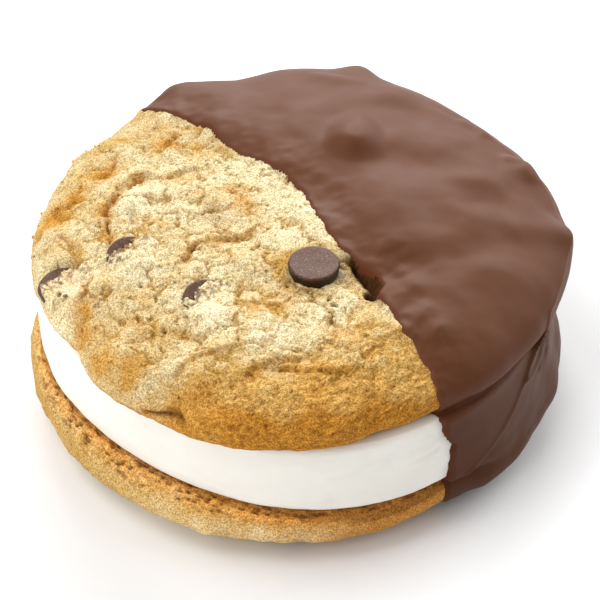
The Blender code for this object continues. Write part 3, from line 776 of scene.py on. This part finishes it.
def lap_chips(points, wavy, normals):
    """Presses the dough down under the whole chip and laps it over those half sunk in it. Returns
    how much each point lies over a chip, and near the dough's lip on it."""
    lapped, lip_near = np.zeros((2, len(points)))
    height, on_crust = points[:, 2], normals[:, 2] > 0.15
    for number, place in enumerate(UPPER_CHIPS):
        middle, turn = chip_frame(UPPER, *place)
        offset = wavy[:, :2] - middle[:2]
        away = np.hypot(*offset.T)
        plane = plane_height(middle, turn, points)
        if number not in LAPS:
            seat = ramp(CHIP_RADIUS + 0.5, CHIP_RADIUS - 0.2, away) * on_crust
            height[:] = np.where(seat > 0, np.minimum(height, plane - 1.4 * seat), height)
            continue
        face, lip = math.radians(LAPS[number][0]), LAPS[number][1]
        reach = offset @ np.array([math.cos(face), math.sin(face)])
        reach += 0.6 * fractal(points, 1.5, 40.0 + number, 2) + 0.7 * fractal(points, 0.6, 45.0, 2)
        inside = ramp(CHIP_RADIUS + 0.35, CHIP_RADIUS - 0.05, away) * on_crust
        open_arc = inside * ramp(lip - 0.25, lip + 0.25, reach)
        cover = inside * (1.0 - open_arc)
        rim = ramp(CHIP_RADIUS + 2.0, CHIP_RADIUS, away) * on_crust
        thick = 0.12 + 0.35 * ramp(lip, lip - 3.0, reach)
        height += cover * (np.maximum(height, plane + thick + 0.15 * rim) - height)
        height += open_arc * (np.minimum(height, plane - 0.8) - height)
        lapped = np.maximum(lapped, cover)
        lip_near = np.maximum(lip_near, cover * ramp(lip - 4.0, lip - 0.8, reach))
    return lapped, lip_near


def oily_ring(plain, wavy):
    """The ring round the whole chip, on its left."""
    (x, y), radius, width = RING
    on_left = np.clip(0.55 - (plain[:, 0] - x) / 7.0 + (plain[:, 1] - y) / 14.0, 0.0, 1.0)
    return bell(plan_polar(wavy, (x, y))[0] - radius, width) * on_left


def upper_colours(plain, wavy, relief):
    """The upper crust's colours: pale and floury inside, gold to brown toward the front rim and in the
    crevices, partly painted shade there, with painted shade in the holes, deep cracks and the pit."""
    x, y, _ = plain.T
    rim = UPPER.reach(plain) + 0.06 * fractal(plain, 9.0, 55.0, 2)
    front = ramp(2.0, -34.0, y) * (0.16 + 0.84 * ramp(-26.0, -4.0, x))
    back_left = ramp(-10.0, -26.0, x) * ramp(-6.0, 8.0, y)
    band = ramp(0.66, 0.98, rim)
    brown, pale = mounds(wavy, BROWN), mounds(plain, PALE)
    crumbly = mounds(wavy, CRUMBLY) * np.clip(0.8 - 0.5 * relief.high, 0.0, 1.0)

    warm = 0.24 + 0.06 * ramp(-14.0, -30.0, x)
    warm += 0.34 * fractal(plain, 6.0, 51.0) + 0.25 * fractal(wavy, 2.2, 57.0)
    # Hollows between the grains get more gold: partly real browning, partly painted shade.
    warm += band * (0.05 + 1.0 * front) + 0.26 * front - 0.30 * relief.high
    warm += 0.35 * ramp(0.72, 0.9, rim) * back_left
    warm += 0.6 * brown + 0.4 * relief.glow - 1.1 * pale
    baked = (0.8 * brown + 0.4 * relief.glow) * np.clip(0.8 - 0.6 * relief.high, 0.0, 1.2)
    dark = 0.9 * ramp(0.90, 1.0, rim) * front + 0.65 * (warm - 0.95)

    colours = layered(CRUMB_PALE, (
        (warm, CRUMB_GOLD),
        (baked, CRUMB_AMBER),
        (dark, CRUMB_BROWN),
        (0.8 * pale, CRUMB_FLOUR),
        (mounds(wavy, GREY), CRUMB_GREY),
        (0.9 * oily_ring(plain, wavy), CRUMB_OILY),
        (0.35 * relief.lapped, CRUMB_FLOUR),
        (0.9 * relief.lip_near * ramp(-0.15, 0.25, fractal(plain, 0.7, 77.0, 2)), CHIP_SMEAR),
        (0.8 * crumbly, CRUMB_SEAM),
        # Seams and crevices browner: partly real browning, partly painted shade.
        (0.75 * ramp(0.08, 0.5, relief.seams), CRUMB_SEAM),
        (0.75 * ramp(0.25, 1.0, relief.crevice), CRUMB_BROWN),
        # Painted shade in the deepest crevices and the holes.
        (0.8 * ramp(1.1, 1.8, relief.crevice), CRUMB_SHADE),
        (0.85 * ramp(0.3, 1.0, relief.hole), CRUMB_SHADE),
        # Painted shade deep in the holes and the pit.
        (0.9 * ramp(0.9, 1.6, relief.hole), CRUMB_PIT_SHADE),
        # Rim crevice: amber round it, partly browning and partly painted shade, and painted shade in its
        # core.
        (0.6 * bell(relief.rim_crevice, 1.6), CRUMB_AMBER),
        (0.9 * bell(relief.rim_crevice, 0.35), CRUMB_SHADE),
        (0.8 * relief.beneath, CRUMB_BROWN),
        # Painted shade on the pit's far wall.
        (1.4 * relief.pit_wall, CRUMB_PIT_SHADE),
    ))
    colours = speckled(colours, plain, 0.55, 83.0, 0.08 + 0.55 * np.clip((band + 0.4) * front, 0.0, 1.0))
    return changed(colours, ramp(5.0, 24.0, y), FAR_CHANGE)


def upper_crumb():
    """The upper cookie: soft mounds of crumbly dough, crevices, holes and lapped chips. Returns
    what the loose crumbs need to lie on it."""
    sphere, quads = quad_sphere(fineness(127), toward=(-0.60, -0.45, 0.66), crowding=1.55)
    plain, normals = UPPER.wrap(sphere)
    wavy = wander(plain)
    past = dip_depth(plain[:, 0], plain[:, 1])
    bare, near_bare = 1.0 - ramp(-0.8, 0.8, past), 1.0 - ramp(0.6, SWELL_REACH, past)
    on_top = ramp(-0.1, 0.6, normals[:, 2])
    relief = crust_relief(plain, wavy, on_top)
    edge = 0.35 * fractal(plain, 6.0, 5.5) - 0.8 * mounds(plain, RIM_DENT)
    crust = (1.0 - on_top) * edge + relief.height * np.maximum(on_top, 0.55)
    points = plain + normals * (near_bare * on_top * crust_swell(plain) + bare * crust)[:, None]
    relief.lapped, relief.lip_near = lap_chips(points, wavy, normals)
    points[:, 2] = np.maximum(points[:, 2], UPPER.face_z)
    turn = np.degrees(plan_polar(plain, UPPER.centre)[1])
    relief.rim_crevice = wall_distance(turn, points[:, 2], RIM_CREVICE)
    points -= normals * (0.9 * bell(relief.rim_crevice, 0.4))[:, None]

    relief.beneath = ramp(0.1, -0.5, normals[:, 2])
    # Painted shade on the crust between the pit and the coating.
    relief.pit_wall = ramp(-1.7, -0.9, past) * bell(path_distance(plain, PIT[2])[0], 2.6)
    colours = upper_colours(plain, wavy, relief)
    piece = make_piece("upper_crumb", points, quads, CRUMB, colours)
    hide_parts("upper_cookie")
    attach(piece, "root")
    return points, normals, colours, ramp(-1.0, -2.0, past) * on_top * (relief.hole < 0.2)


def press_lower_chips(points, normals):
    """Presses the lower crust up round the chips that show in it, with a ragged edge."""
    for place in LOWER_CHIPS:
        middle, turn = chip_frame(LOWER, *place)
        plane = plane_height(middle, turn, points)
        seat = ramp(CHIP_RADIUS + 0.5, CHIP_RADIUS - 0.3, plan_polar(points, middle)[0])
        ragged = ramp(-0.25, 0.25, 0.4 + fractal(points, 2.0, 70.0 + place[0], 2))
        pressed = seat * (normals[:, 2] < -0.1) * ragged
        points[:, 2] += pressed * (np.maximum(points[:, 2], plane + 0.7) - points[:, 2])


def lower_colours(plain, normals, grains, pore, ledge, side):
    """The lower cookie's colours: a rusty ledge with painted shade in its pores and along the cream, painted
    light on it and on the near front, painted shade on the left side, and a paler side and crust.
    """
    x, y, _ = plain.T
    front = ramp(-18.0, -36.0, y) * ramp(-24.0, 4.0, x)
    near_front = ramp(-25.0, -42.0, y) * ramp(12.0, -6.0, x)
    right = side * ramp(-2.0, 10.0, x) * ramp(-10.0, -24.0, y)
    blotch = fractal(plain * (1.0, 1.0, 0.7), 7.0, 75.0, 2)
    warm = 0.24 + 0.34 * fractal(plain, 5.0, 71.0) + 0.25 * fractal(plain, 1.8, 73.0) - 0.25 * grains
    warm += 0.5 * ramp(-0.1, 0.8, normals[:, 2]) + 0.45 * front
    warm -= 0.6 * ramp(0.0, 0.5, blotch) * side
    inner = ramp(3.4, 0.6, LOWER.radius - plan_polar(plain, LOWER.centre)[0] - 0.4)
    distance, angle = plan_polar(plain, FILLING_CENTRE)
    from_cream = distance - lobed(angle, FILLING_RADIUS, FILLING_LOBES)
    # A thin line of painted shade where the ledge meets the cream.
    line = ramp(0.6, 0.1, from_cream + 0.4 * fractal(plain, 1.5, 79.0, 2)) * (normals[:, 2] > 0.3)

    colours = layered(CRUMB_UNDER, (
        (warm, CRUMB_GOLD),
        # Painted shade: the left side turns golder, and is darkened below.
        (0.7 * side * ramp(-10.0, -38.0, x), CRUMB_GOLD),
        (ledge * (0.85 - 0.4 * inner) + 0.75 * front + 0.5 * (warm - 0.9), CRUMB_RUST),
        (0.8 * right, CRUMB_RUST),
    ))
    # The ledge made lighter, more at the front: partly its own tone, partly painted light.
    colours = changed(colours, ledge * (0.10 + 0.12 * front), 1.0)
    # Painted light: the near front of the lower cookie is made lighter.
    colours = changed(colours, near_front, NEAR_PAINTED_LIGHT)
    colours = speckled(colours, plain, 0.6, 85.0, 0.10 + 0.30 * ledge)
    # Painted shade: the left side of the lower cookie is made darker.
    colours = changed(colours, side * ramp(-10.0, -36.0, x), LEFT_PAINTED_SHADE)
    # Painted shade in the ledge's pores.
    colours = layered(colours, ((0.75 * pore * ledge, CRUMB_SHADE),))
    # Painted light on the ledge beside the cream, where the cream's shade falls.
    colours = changed(colours, ledge * ramp(1.8, 0.4, from_cream), 0.15)
    # Painted shade along the cream.
    return layered(colours, ((0.5 * line, CRUMB_SHADE),))


def lower_crumb():
    """The lower cookie, crust down: a porous baked ledge above and a pale crust below."""
    sphere, quads = quad_sphere(fineness(120), toward=(-0.62, -0.62, 0.25), crowding=1.6)
    plain, normals = LOWER.wrap(sphere)
    past = dip_depth(plain[:, 0], plain[:, 1])
    bare, shown = 1.0 - ramp(-4.5, -1.5, past), 1.0 - ramp(0.6, 4.0, past)
    below = 1.0 - ramp(-0.5, 0.3, normals[:, 2])
    ledge = ramp(0.5, 0.9, normals[:, 2]) * shown
    side = ramp(0.9, 0.4, np.abs(normals[:, 2])) * shown

    points = plain + normals * (bare * below * 0.45 * fractal(plain, 6.0, 12.9))[:, None]
    grains = pebbles(plain, 0.9, 8.0)
    warped = plain + 0.5 * fractal(plain, 1.0, 25.0, 2)[:, None] * (1.0, -0.8, 0.0)
    pore = ramp(0.14, 0.36, pebbles(warped, 0.9, 18.0))
    pore *= ramp(-0.35, 0.05, fractal(plain, 1.8, 61.0, 2))
    dent = 0.30 * fractal(plain, 7.0, 19.0, 2) * side + 0.10 * fractal(plain, 2.2, 29.0, 2)
    points += normals * (shown * ((0.18 + 0.12 * ledge) * grains + dent) - 0.6 * pore * ledge)[:, None]
    press_lower_chips(points, normals)
    foot = COAT_FOOT_RISE * ramp(-6.5, -3.5, past)
    points[:, 2] = np.clip(points[:, 2], foot, LOWER.face_z + 0.05)

    colours = lower_colours(plain, normals, grains, pore, ledge, side)
    piece = make_piece("lower_crumb", points, quads, LOWER_CRUMB, colours)
    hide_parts("lower_cookie")
    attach(piece, "root")


def cream_ripple(points):
    """How far the cream's wall stands out: soft ripples, smears and thin folds."""
    flat = points * np.array([1.0, 1.0, 2.6])
    ripple = 0.20 * fractal(flat, 9.0, 80.0, 2) + 0.07 * fractal(flat, 2.6, 84.0, 2)
    ripple += mounds(points, SMEARS)
    x, y, z = points.T
    for left_z, right_z, left_x in CREAM_FOLDS:
        slope = left_z + (right_z - left_z) * ramp(left_x, left_x + 6.0, x)
        fold = bell(z - slope, 0.5) * ramp(left_x - 1.0, left_x + 2.0, x)
        ripple += 0.4 * fold * (y < -20.0) * ramp(22.4, 20.4, x)
    return ripple


def cream():
    """The filling: a pressed disc of cream with a softly bulging wall and a few smears."""
    low, high = LOWER.face_z - FILLING_OVERLAP, UPPER.face_z + FILLING_OVERLAP
    middle, half = (low + high) / 2, (high - low) / 2
    share = np.linspace(-1.0, 1.0, 70)
    bend = np.sign(share) * (1.0 - (1.0 - np.abs(share)) ** 1.6)
    from_face = half - np.abs(bend) * half
    rounding = FILLING_EDGE * np.clip(1.0 - from_face / FILLING_EDGE_HEIGHT, 0.0, 1.0) ** 2.5
    wall = [(FILLING_RADIUS + FILLING_BULGE * (1.0 - s * s) - cut, middle - half * s)
            for s, cut in zip(bend, rounding)]
    inward = [(r, high) for r in (0.0, 12.0, 24.0, 33.0, 37.0)]
    profile = inward + wall + [(r, low) for r, _ in inward[::-1]]
    points, faces = drum(profile, fineness(420))
    stretch = lobed(plan_polar(points)[1], FILLING_RADIUS, FILLING_LOBES) / FILLING_RADIUS
    points[:, :2] = points[:, :2] * stretch[:, None] + FILLING_CENTRE
    on_wall = ramp(0.9, 0.99, plan_polar(points, FILLING_CENTRE)[0] / FILLING_RADIUS)
    points[:, :2] *= (1.0 + on_wall * cream_ripple(points) / FILLING_RADIUS)[:, None]
    piece = make_piece("cream", points, faces, CREAM)
    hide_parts("filling")
    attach(piece, "root")


class Film:
    """Surfaces that follow the whole stack at a distance, with fillets in the notch between the
    lips. Each layer is a distance and a fillet, and the layers lie on the same rays."""

    COLUMNS = 72
    ROWS = 210
    STEPS = 24
    STEP_SHARE = 0.85
    BEND_WEIGHT = 5.0
    CORNERS = ((0.0, 44.0), (52.0, 44.0), (52.0, -10.0), (0.0, -10.0))
    AIM_REACH = 30.0
    AIM_Z = 17.0

    def __init__(self, layers):
        self.lines, self.tables = {}, {}
        for column in range(self.COLUMNS):
            turn = 2 * math.pi * column / self.COLUMNS
            if on_dipped_side(turn, DIPPED_SIDE_REACH + 0.1):
                self.lines[column] = [self.section(turn, *layer) for layer in layers]
                self.tables[column] = surface_share(self.lines[column][-1], 1.0, self.BEND_WEIGHT)

    @staticmethod
    def stack_section(angle):
        """Outlines of both cookies and the cream, cut through the axis at an angle."""
        shift = FILLING_CENTRE[0] * math.cos(angle) + FILLING_CENTRE[1] * math.sin(angle)
        wall = lobed(angle, FILLING_RADIUS, FILLING_LOBES) + FILLING_BULGE + shift
        levels, inward = np.linspace(LOWER.face_z, UPPER.face_z, 60), np.linspace(wall - 6.0, wall, 20)
        cream_line = [np.stack([np.full_like(levels, wall), levels], 1)]
        for z in (LOWER.face_z, UPPER.face_z):
            cream_line.append(np.stack([inward, np.full_like(inward, z)], 1))
        return UPPER.section(angle), LOWER.section(angle), np.concatenate(cream_line)

    def section(self, angle, distance, fillet):
        """Walks from a box round the stack toward its core until the stack is near enough."""
        solids = self.stack_section(angle)
        corners = np.array(self.CORNERS)
        sides = np.linalg.norm(np.diff(corners, axis=0), axis=1)
        reached = np.concatenate([[0.0], np.cumsum(sides)])
        station = np.linspace(0.0, reached[-1], self.ROWS)
        line = np.stack([np.interp(station, reached, corners[:, i]) for i in (0, 1)], 1)
        aim = np.stack([np.minimum(line[:, 0], self.AIM_REACH), np.full(self.ROWS, self.AIM_Z)], 1)
        ray = (aim - line) / np.linalg.norm(aim - line, axis=1)[:, None]
        for _ in range(self.STEPS):
            near = np.stack([self.nearest(line, solid) for solid in solids])
            least = near.min(axis=0)
            blend = fillet * np.log(np.sum(np.exp((least - near) / fillet), axis=0))
            line += self.STEP_SHARE * ray * (least - blend - distance)[:, None]
        return line

    @staticmethod
    def nearest(line, solid):
        gap = line[:, None] - solid[None]
        return np.sqrt(np.min(gap[..., 0] ** 2 + gap[..., 1] ** 2, axis=1))

    def wrap(self, sphere):
        """Points on each layer for points of a unit sphere, all on the dipped side."""
        place_in_turn = plan_polar(sphere)[1] / (2 * math.pi) * self.COLUMNS
        above = (1.0 - sphere[:, 2]) / 2.0
        before = np.floor(place_in_turn).astype(int)
        share = place_in_turn - before
        angle = place_in_turn * 2 * math.pi / self.COLUMNS
        layers = np.zeros((len(next(iter(self.lines.values()))), len(sphere), 3))
        for side, weight in ((before, 1.0 - share), (before + 1, share)):
            for column in np.unique(side % self.COLUMNS):
                mine = side % self.COLUMNS == column
                for points, line in zip(layers, self.lines[column]):
                    reach = np.interp(above[mine], self.tables[column], line[:, 0]) * weight[mine]
                    points[mine, 0] += reach * np.cos(angle[mine])
                    points[mine, 1] += reach * np.sin(angle[mine])
                    points[mine, 2] += np.interp(above[mine], self.tables[column], line[:, 1]) * weight[mine]
        return layers


def on_dipped_side(angle, reach=DIPPED_SIDE_REACH):
    """Whether directions from the axis lie on the dipped side, or just past its ends."""
    return np.cos(angle - DIP_ANGLE) > -reach


def past_coat_edge(outside):
    """Distance past the coating's ragged edge, which lies further back on the wall at the front."""
    on_front_wall = ramp(8.0, 26.0, outside @ np.append(DIP_ALONG, 0.0))
    past = dip_depth(outside[:, 0], outside[:, 1])
    past -= on_front_wall * np.interp(outside[:, 2], *zip(*WALL_EDGE))
    past += 0.35 * fractal(outside, 3.4, 91.0, 2) + 0.20 * fractal(outside, 1.3, 93.0, 2)
    return past


def coat_height(outside, upward, past):
    """Distance of the coating from the stack, below 0 where it is tucked in, and how far each
    point is in the thin notch between the lips."""
    turn, z = np.degrees(plan_polar(outside)[1]), outside[:, 2]
    crease = np.interp(turn, *zip(*NOTCH_EDGE))
    over_crease = z - crease
    notch = ramp(-0.4, 0.6, over_crease) * ramp(*NOTCH_TOP, z)
    toward_lip = np.clip(over_crease / np.maximum(NOTCH_TOP[1] - crease, 1.0), 0.0, 1.0)
    thinned = CREASE_DISTANCE + (NOTCH_DISTANCE - CREASE_DISTANCE) * toward_lip

    height = -COAT_TUCK + (1.75 - 0.25 * upward) * ramp(-0.8, 0.2, past)
    height += (0.9 + 0.25 * upward) * ramp(-0.3, 12.0, past)
    height -= 0.8 * ramp(-0.2, -0.7, past) * bell(z - UPPER.face_z, 1.5)
    height -= 2.2 * bell(path_distance(outside, PIT[2])[0], 2.4) * ramp(0.0, -0.8, past)
    height += notch * (np.minimum(height, thinned) - height)
    height += 0.22 * bell(over_crease, 0.45) * ramp(0.0, 3.0, past) * ramp(-64.0, -54.0, turn)
    for path in WALL_FOLDS:
        height += 0.40 * bell(wall_distance(turn, z, path), 0.5)
    return height, notch


def coat_relief(outside, outward, upward, past, notch):
    """Lumps, humps and ridges of the coating, and the crust's forms that show through its edge."""
    lumps = 0.35 * fractal(outside, 11.0, 101.0, 2) + 0.12 * fractal(outside, 5.0, 105.0, 2)
    ridges = sum(amount * bell(path_distance(outside, path)[0], width) for amount, width, path in RIDGES)
    x, y, rise, sideways, front, behind = STEEP_HUMP
    lengthways = (outside[:, 1] - y) / np.where(outside[:, 1] < y, front, behind)
    steep = rise * ramp(1.1, 0.15, np.hypot((outside[:, 0] - x) / sideways, lengthways)) * upward
    relief = ramp(0.0, 6.5, past) * (1.0 - notch) * (lumps + steep + mounds(outside, HUMPS))
    relief += ramp(0.3, 2.5, past) * upward * ridges
    follow = (1.0 - ramp(0.6, SWELL_REACH, past)) * upward
    return relief + follow * crust_swell(outside - outward * COAT_REACH)


def chocolate_coat():
    """The dipped half: a skin that thins to a rounded lip at the dip line and tucks in there."""
    sphere, quads = quad_sphere(fineness(116), toward=(0.4, -0.3, 0.6), crowding=1.25)
    near_enough = on_dipped_side(plan_polar(sphere)[1])
    used, quads = part_of(quads, near_enough[quads].all(axis=1))
    inside, outside = Film(tuple(zip((COAT_GAP, COAT_REACH), COAT_FILLETS))).wrap(sphere[used])
    outward = point_normals(outside, quads)
    upward, past = ramp(0.2, 0.7, outward[:, 2]), past_coat_edge(outside)
    height, notch = coat_height(outside, upward, past)
    relief = coat_relief(outside, outward, upward, past, notch)
    share = np.clip((height - COAT_GAP) / (COAT_REACH - COAT_GAP), 0.0, None)
    sunk = np.minimum(height - COAT_GAP, 0.0)
    points = inside + (outside - inside) * share[:, None] + outward * (relief + sunk)[:, None]
    under_edge = COAT_FOOT_RISE * ramp(0.4, -0.8, past) * (outward[:, 2] < -0.3)
    points[:, 2] = np.maximum(points[:, 2], 1.3 * under_edge)

    at_seat = np.abs(outside[:, 2] - UPPER.face_z + 0.5) < 2.0
    used, quads = part_of(quads, (past[quads] > np.where(at_seat, -0.5, -1.6)[quads]).any(axis=1))
    edge = bell(np.maximum(past[used], 0.0), 0.35)
    colours = layered(np.ones(3), ((0.4 * edge, THIN_COAT),)) / THIN_COAT.max()
    # Painted shade: the coating gets darker and browner down its wall.
    colours = changed(colours, ramp(*PAINTED_SHADE_HEIGHTS, outside[used, 2]), WALL_PAINTED_SHADE)
    piece = make_piece("coat", points[used], quads, CHOCOLATE, colours)
    skin = piece.modifiers.new("skin", "SOLIDIFY")
    skin.thickness = COAT_SKIN * MM
    skin.offset = -1.0
    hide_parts("chocolate_coat")
    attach(piece, "root")


def chip_drum():
    """Points and faces of a plain chip: a drop that hangs from its flat base."""
    flat = [(r * CHIP_RADIUS, 0.0) for r in np.linspace(0.1, 0.8, 10)]
    inset = CHIP_RADIUS - CHIP_CORNER
    corner = [(inset + CHIP_CORNER * math.sin(a), CHIP_CORNER * (math.cos(a) - 1.0))
              for a in np.linspace(0.0, math.pi / 2, 8)]
    flank = [(r * CHIP_RADIUS, -depth * CHIP_HEIGHT) for r, depth in CHIP_FLANK]
    return drum([(0.0, 0.0)] + flat + corner + flank, 96)


def chips():
    """The chips, each a drop with a flat base, slightly worn edges and painted shade down its sides."""
    plain, faces = chip_drum()
    out = plain / np.maximum(np.linalg.norm(plain, axis=1), 1e-6)[:, None]
    dished = 0.12 * ramp(CHIP_RADIUS, 0.0, plan_polar(plain)[0]) * (plain[:, 2] > -0.01)
    # Painted shade: the tint darkens down the chip's sides below its base.
    chip_side_shade = 0.88 * (0.12 + 0.88 * ramp(-0.6, -0.05, plain[:, 2]))
    sets = [(UPPER, place, "", i) for i, place in enumerate(UPPER_CHIPS, 1)]
    sets += [(LOWER, place, "under_", i) for i, place in enumerate(LOWER_CHIPS, 1)]
    for number, (cookie, place, side, i) in enumerate(sets):
        middle, turn = chip_frame(cookie, *place)
        seeded = plain + 13.0 * number
        points = plain + out * (0.07 * fractal(seeded, 1.6, 3.0) - 0.03)[:, None]
        points[:, 2] += 0.05 * fractal(seeded, 1.8, 7.0, 2) * (plain[:, 2] > -0.5) - dished
        points = points @ turn.T + middle
        piece = make_piece(f"{side}chocolate_chip_{i}", points, faces, CHIP, np.tile(chip_side_shade[:, None], 3))
        node = f"{side}chip_{i}"
        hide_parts(node)
        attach(piece, "root")


def loose_crumbs(points, normals, colours, likely):
    """Grains of dough that lie on the crust."""
    random = np.random.default_rng(7)
    choice = random.choice(len(points), LOOSE_CRUMBS, replace=False, p=likely / likely.sum())
    bpy.ops.mesh.primitive_ico_sphere_add(subdivisions=2, radius=1.0)
    seed = bpy.context.object
    ball = np.array([v.co[:] for v in seed.data.vertices])
    ball_faces = np.array([p.vertices[:] for p in seed.data.polygons])
    bpy.data.objects.remove(seed)
    all_points, all_faces, tints = [], [], []
    for number, index in enumerate(choice):
        size = LOOSE_CRUMB_SIZE[0] + LOOSE_CRUMB_SIZE[1] * random.random() ** 2.5
        stretch = 1.0 + 0.5 * random.random(3)
        lumps = 1.0 + 0.35 * fractal(ball + 9.0 * number, 0.9, 2.0, 2)
        turn = np.array(Euler(random.random(3) * 6.3).to_matrix())
        grain = (ball * lumps[:, None] * stretch * size) @ turn.T
        all_faces.append(ball_faces + number * len(ball))
        all_points.append(grain + points[index] + normals[index] * size * 0.35)
        tone = colours[index] * (0.9 + 0.4 * random.random())
        tints.append(np.tile(tone, (len(ball), 1)))
    joined = np.concatenate(all_points)
    piece = make_piece("crumbs", joined, np.concatenate(all_faces), CRUMB, np.concatenate(tints))
    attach(piece, "root")


def area(name, place, size, watts):
    """A square soft light turned toward the cookie."""
    light = bpy.data.lights.new(name, "AREA")
    light.shape, light.size, light.energy = "SQUARE", size, watts
    lamp = bpy.data.objects.new(name, light)
    lamp.location = place
    lamp.rotation_euler = (Vector(LIGHT_TARGET) - Vector(place)).to_track_quat("-Z", "Y").to_euler()
    bpy.context.scene.collection.objects.link(lamp)


def white_floor():
    """The floor, which isn't part of the cookie."""
    bpy.ops.mesh.primitive_plane_add(size=6.0, location=(0.0, 0.0, 0.0))
    floor = bpy.context.object
    floor.name = "floor"
    paper = Nodes("floor_white").set(Base_Color=(0.85, 0.85, 0.85, 1.0), Roughness=0.8)
    floor.data.materials.append(paper)


def studio():
    """A white floor in a white room, large soft lights, mostly from behind, and the camera."""
    white_floor()
    world = bpy.data.worlds.new("white_room")
    bpy.context.scene.world = world
    world.use_nodes = True
    background = world.node_tree.nodes["Background"].inputs
    background["Color"].default_value = (1.0, 1.0, 1.0, 1.0)
    background["Strength"].default_value = ROOM_LIGHT
    for light in LIGHTS:
        area(*light)

    camera = bpy.data.cameras.new("camera")
    camera.sensor_width, camera.lens, camera.clip_start = 36.0, CAMERA_LENS, 0.02
    eye = bpy.data.objects.new("camera", camera)
    back = Vector((0.0, -math.cos(CAMERA_ELEVATION), math.sin(CAMERA_ELEVATION)))
    eye.location = Vector(CAMERA_TARGET) + CAMERA_DISTANCE * back
    eye.rotation_euler = (math.pi / 2 - CAMERA_ELEVATION, 0.0, 0.0)
    bpy.context.scene.collection.objects.link(eye)
    bpy.context.scene.camera = eye
    bpy.context.scene.view_settings.view_transform = "Standard"


CRUMB = crumb_material("crumb")
LOWER_CRUMB = crumb_material("lower_crumb")
CREAM = cream_material("cream")
CHOCOLATE = chocolate_material("milk_chocolate")
CHIP = chip_material("dark_chip")

studio()
crust = upper_crumb()
lower_crumb()
cream()
chips()
chocolate_coat()
loose_crumbs(*crust)
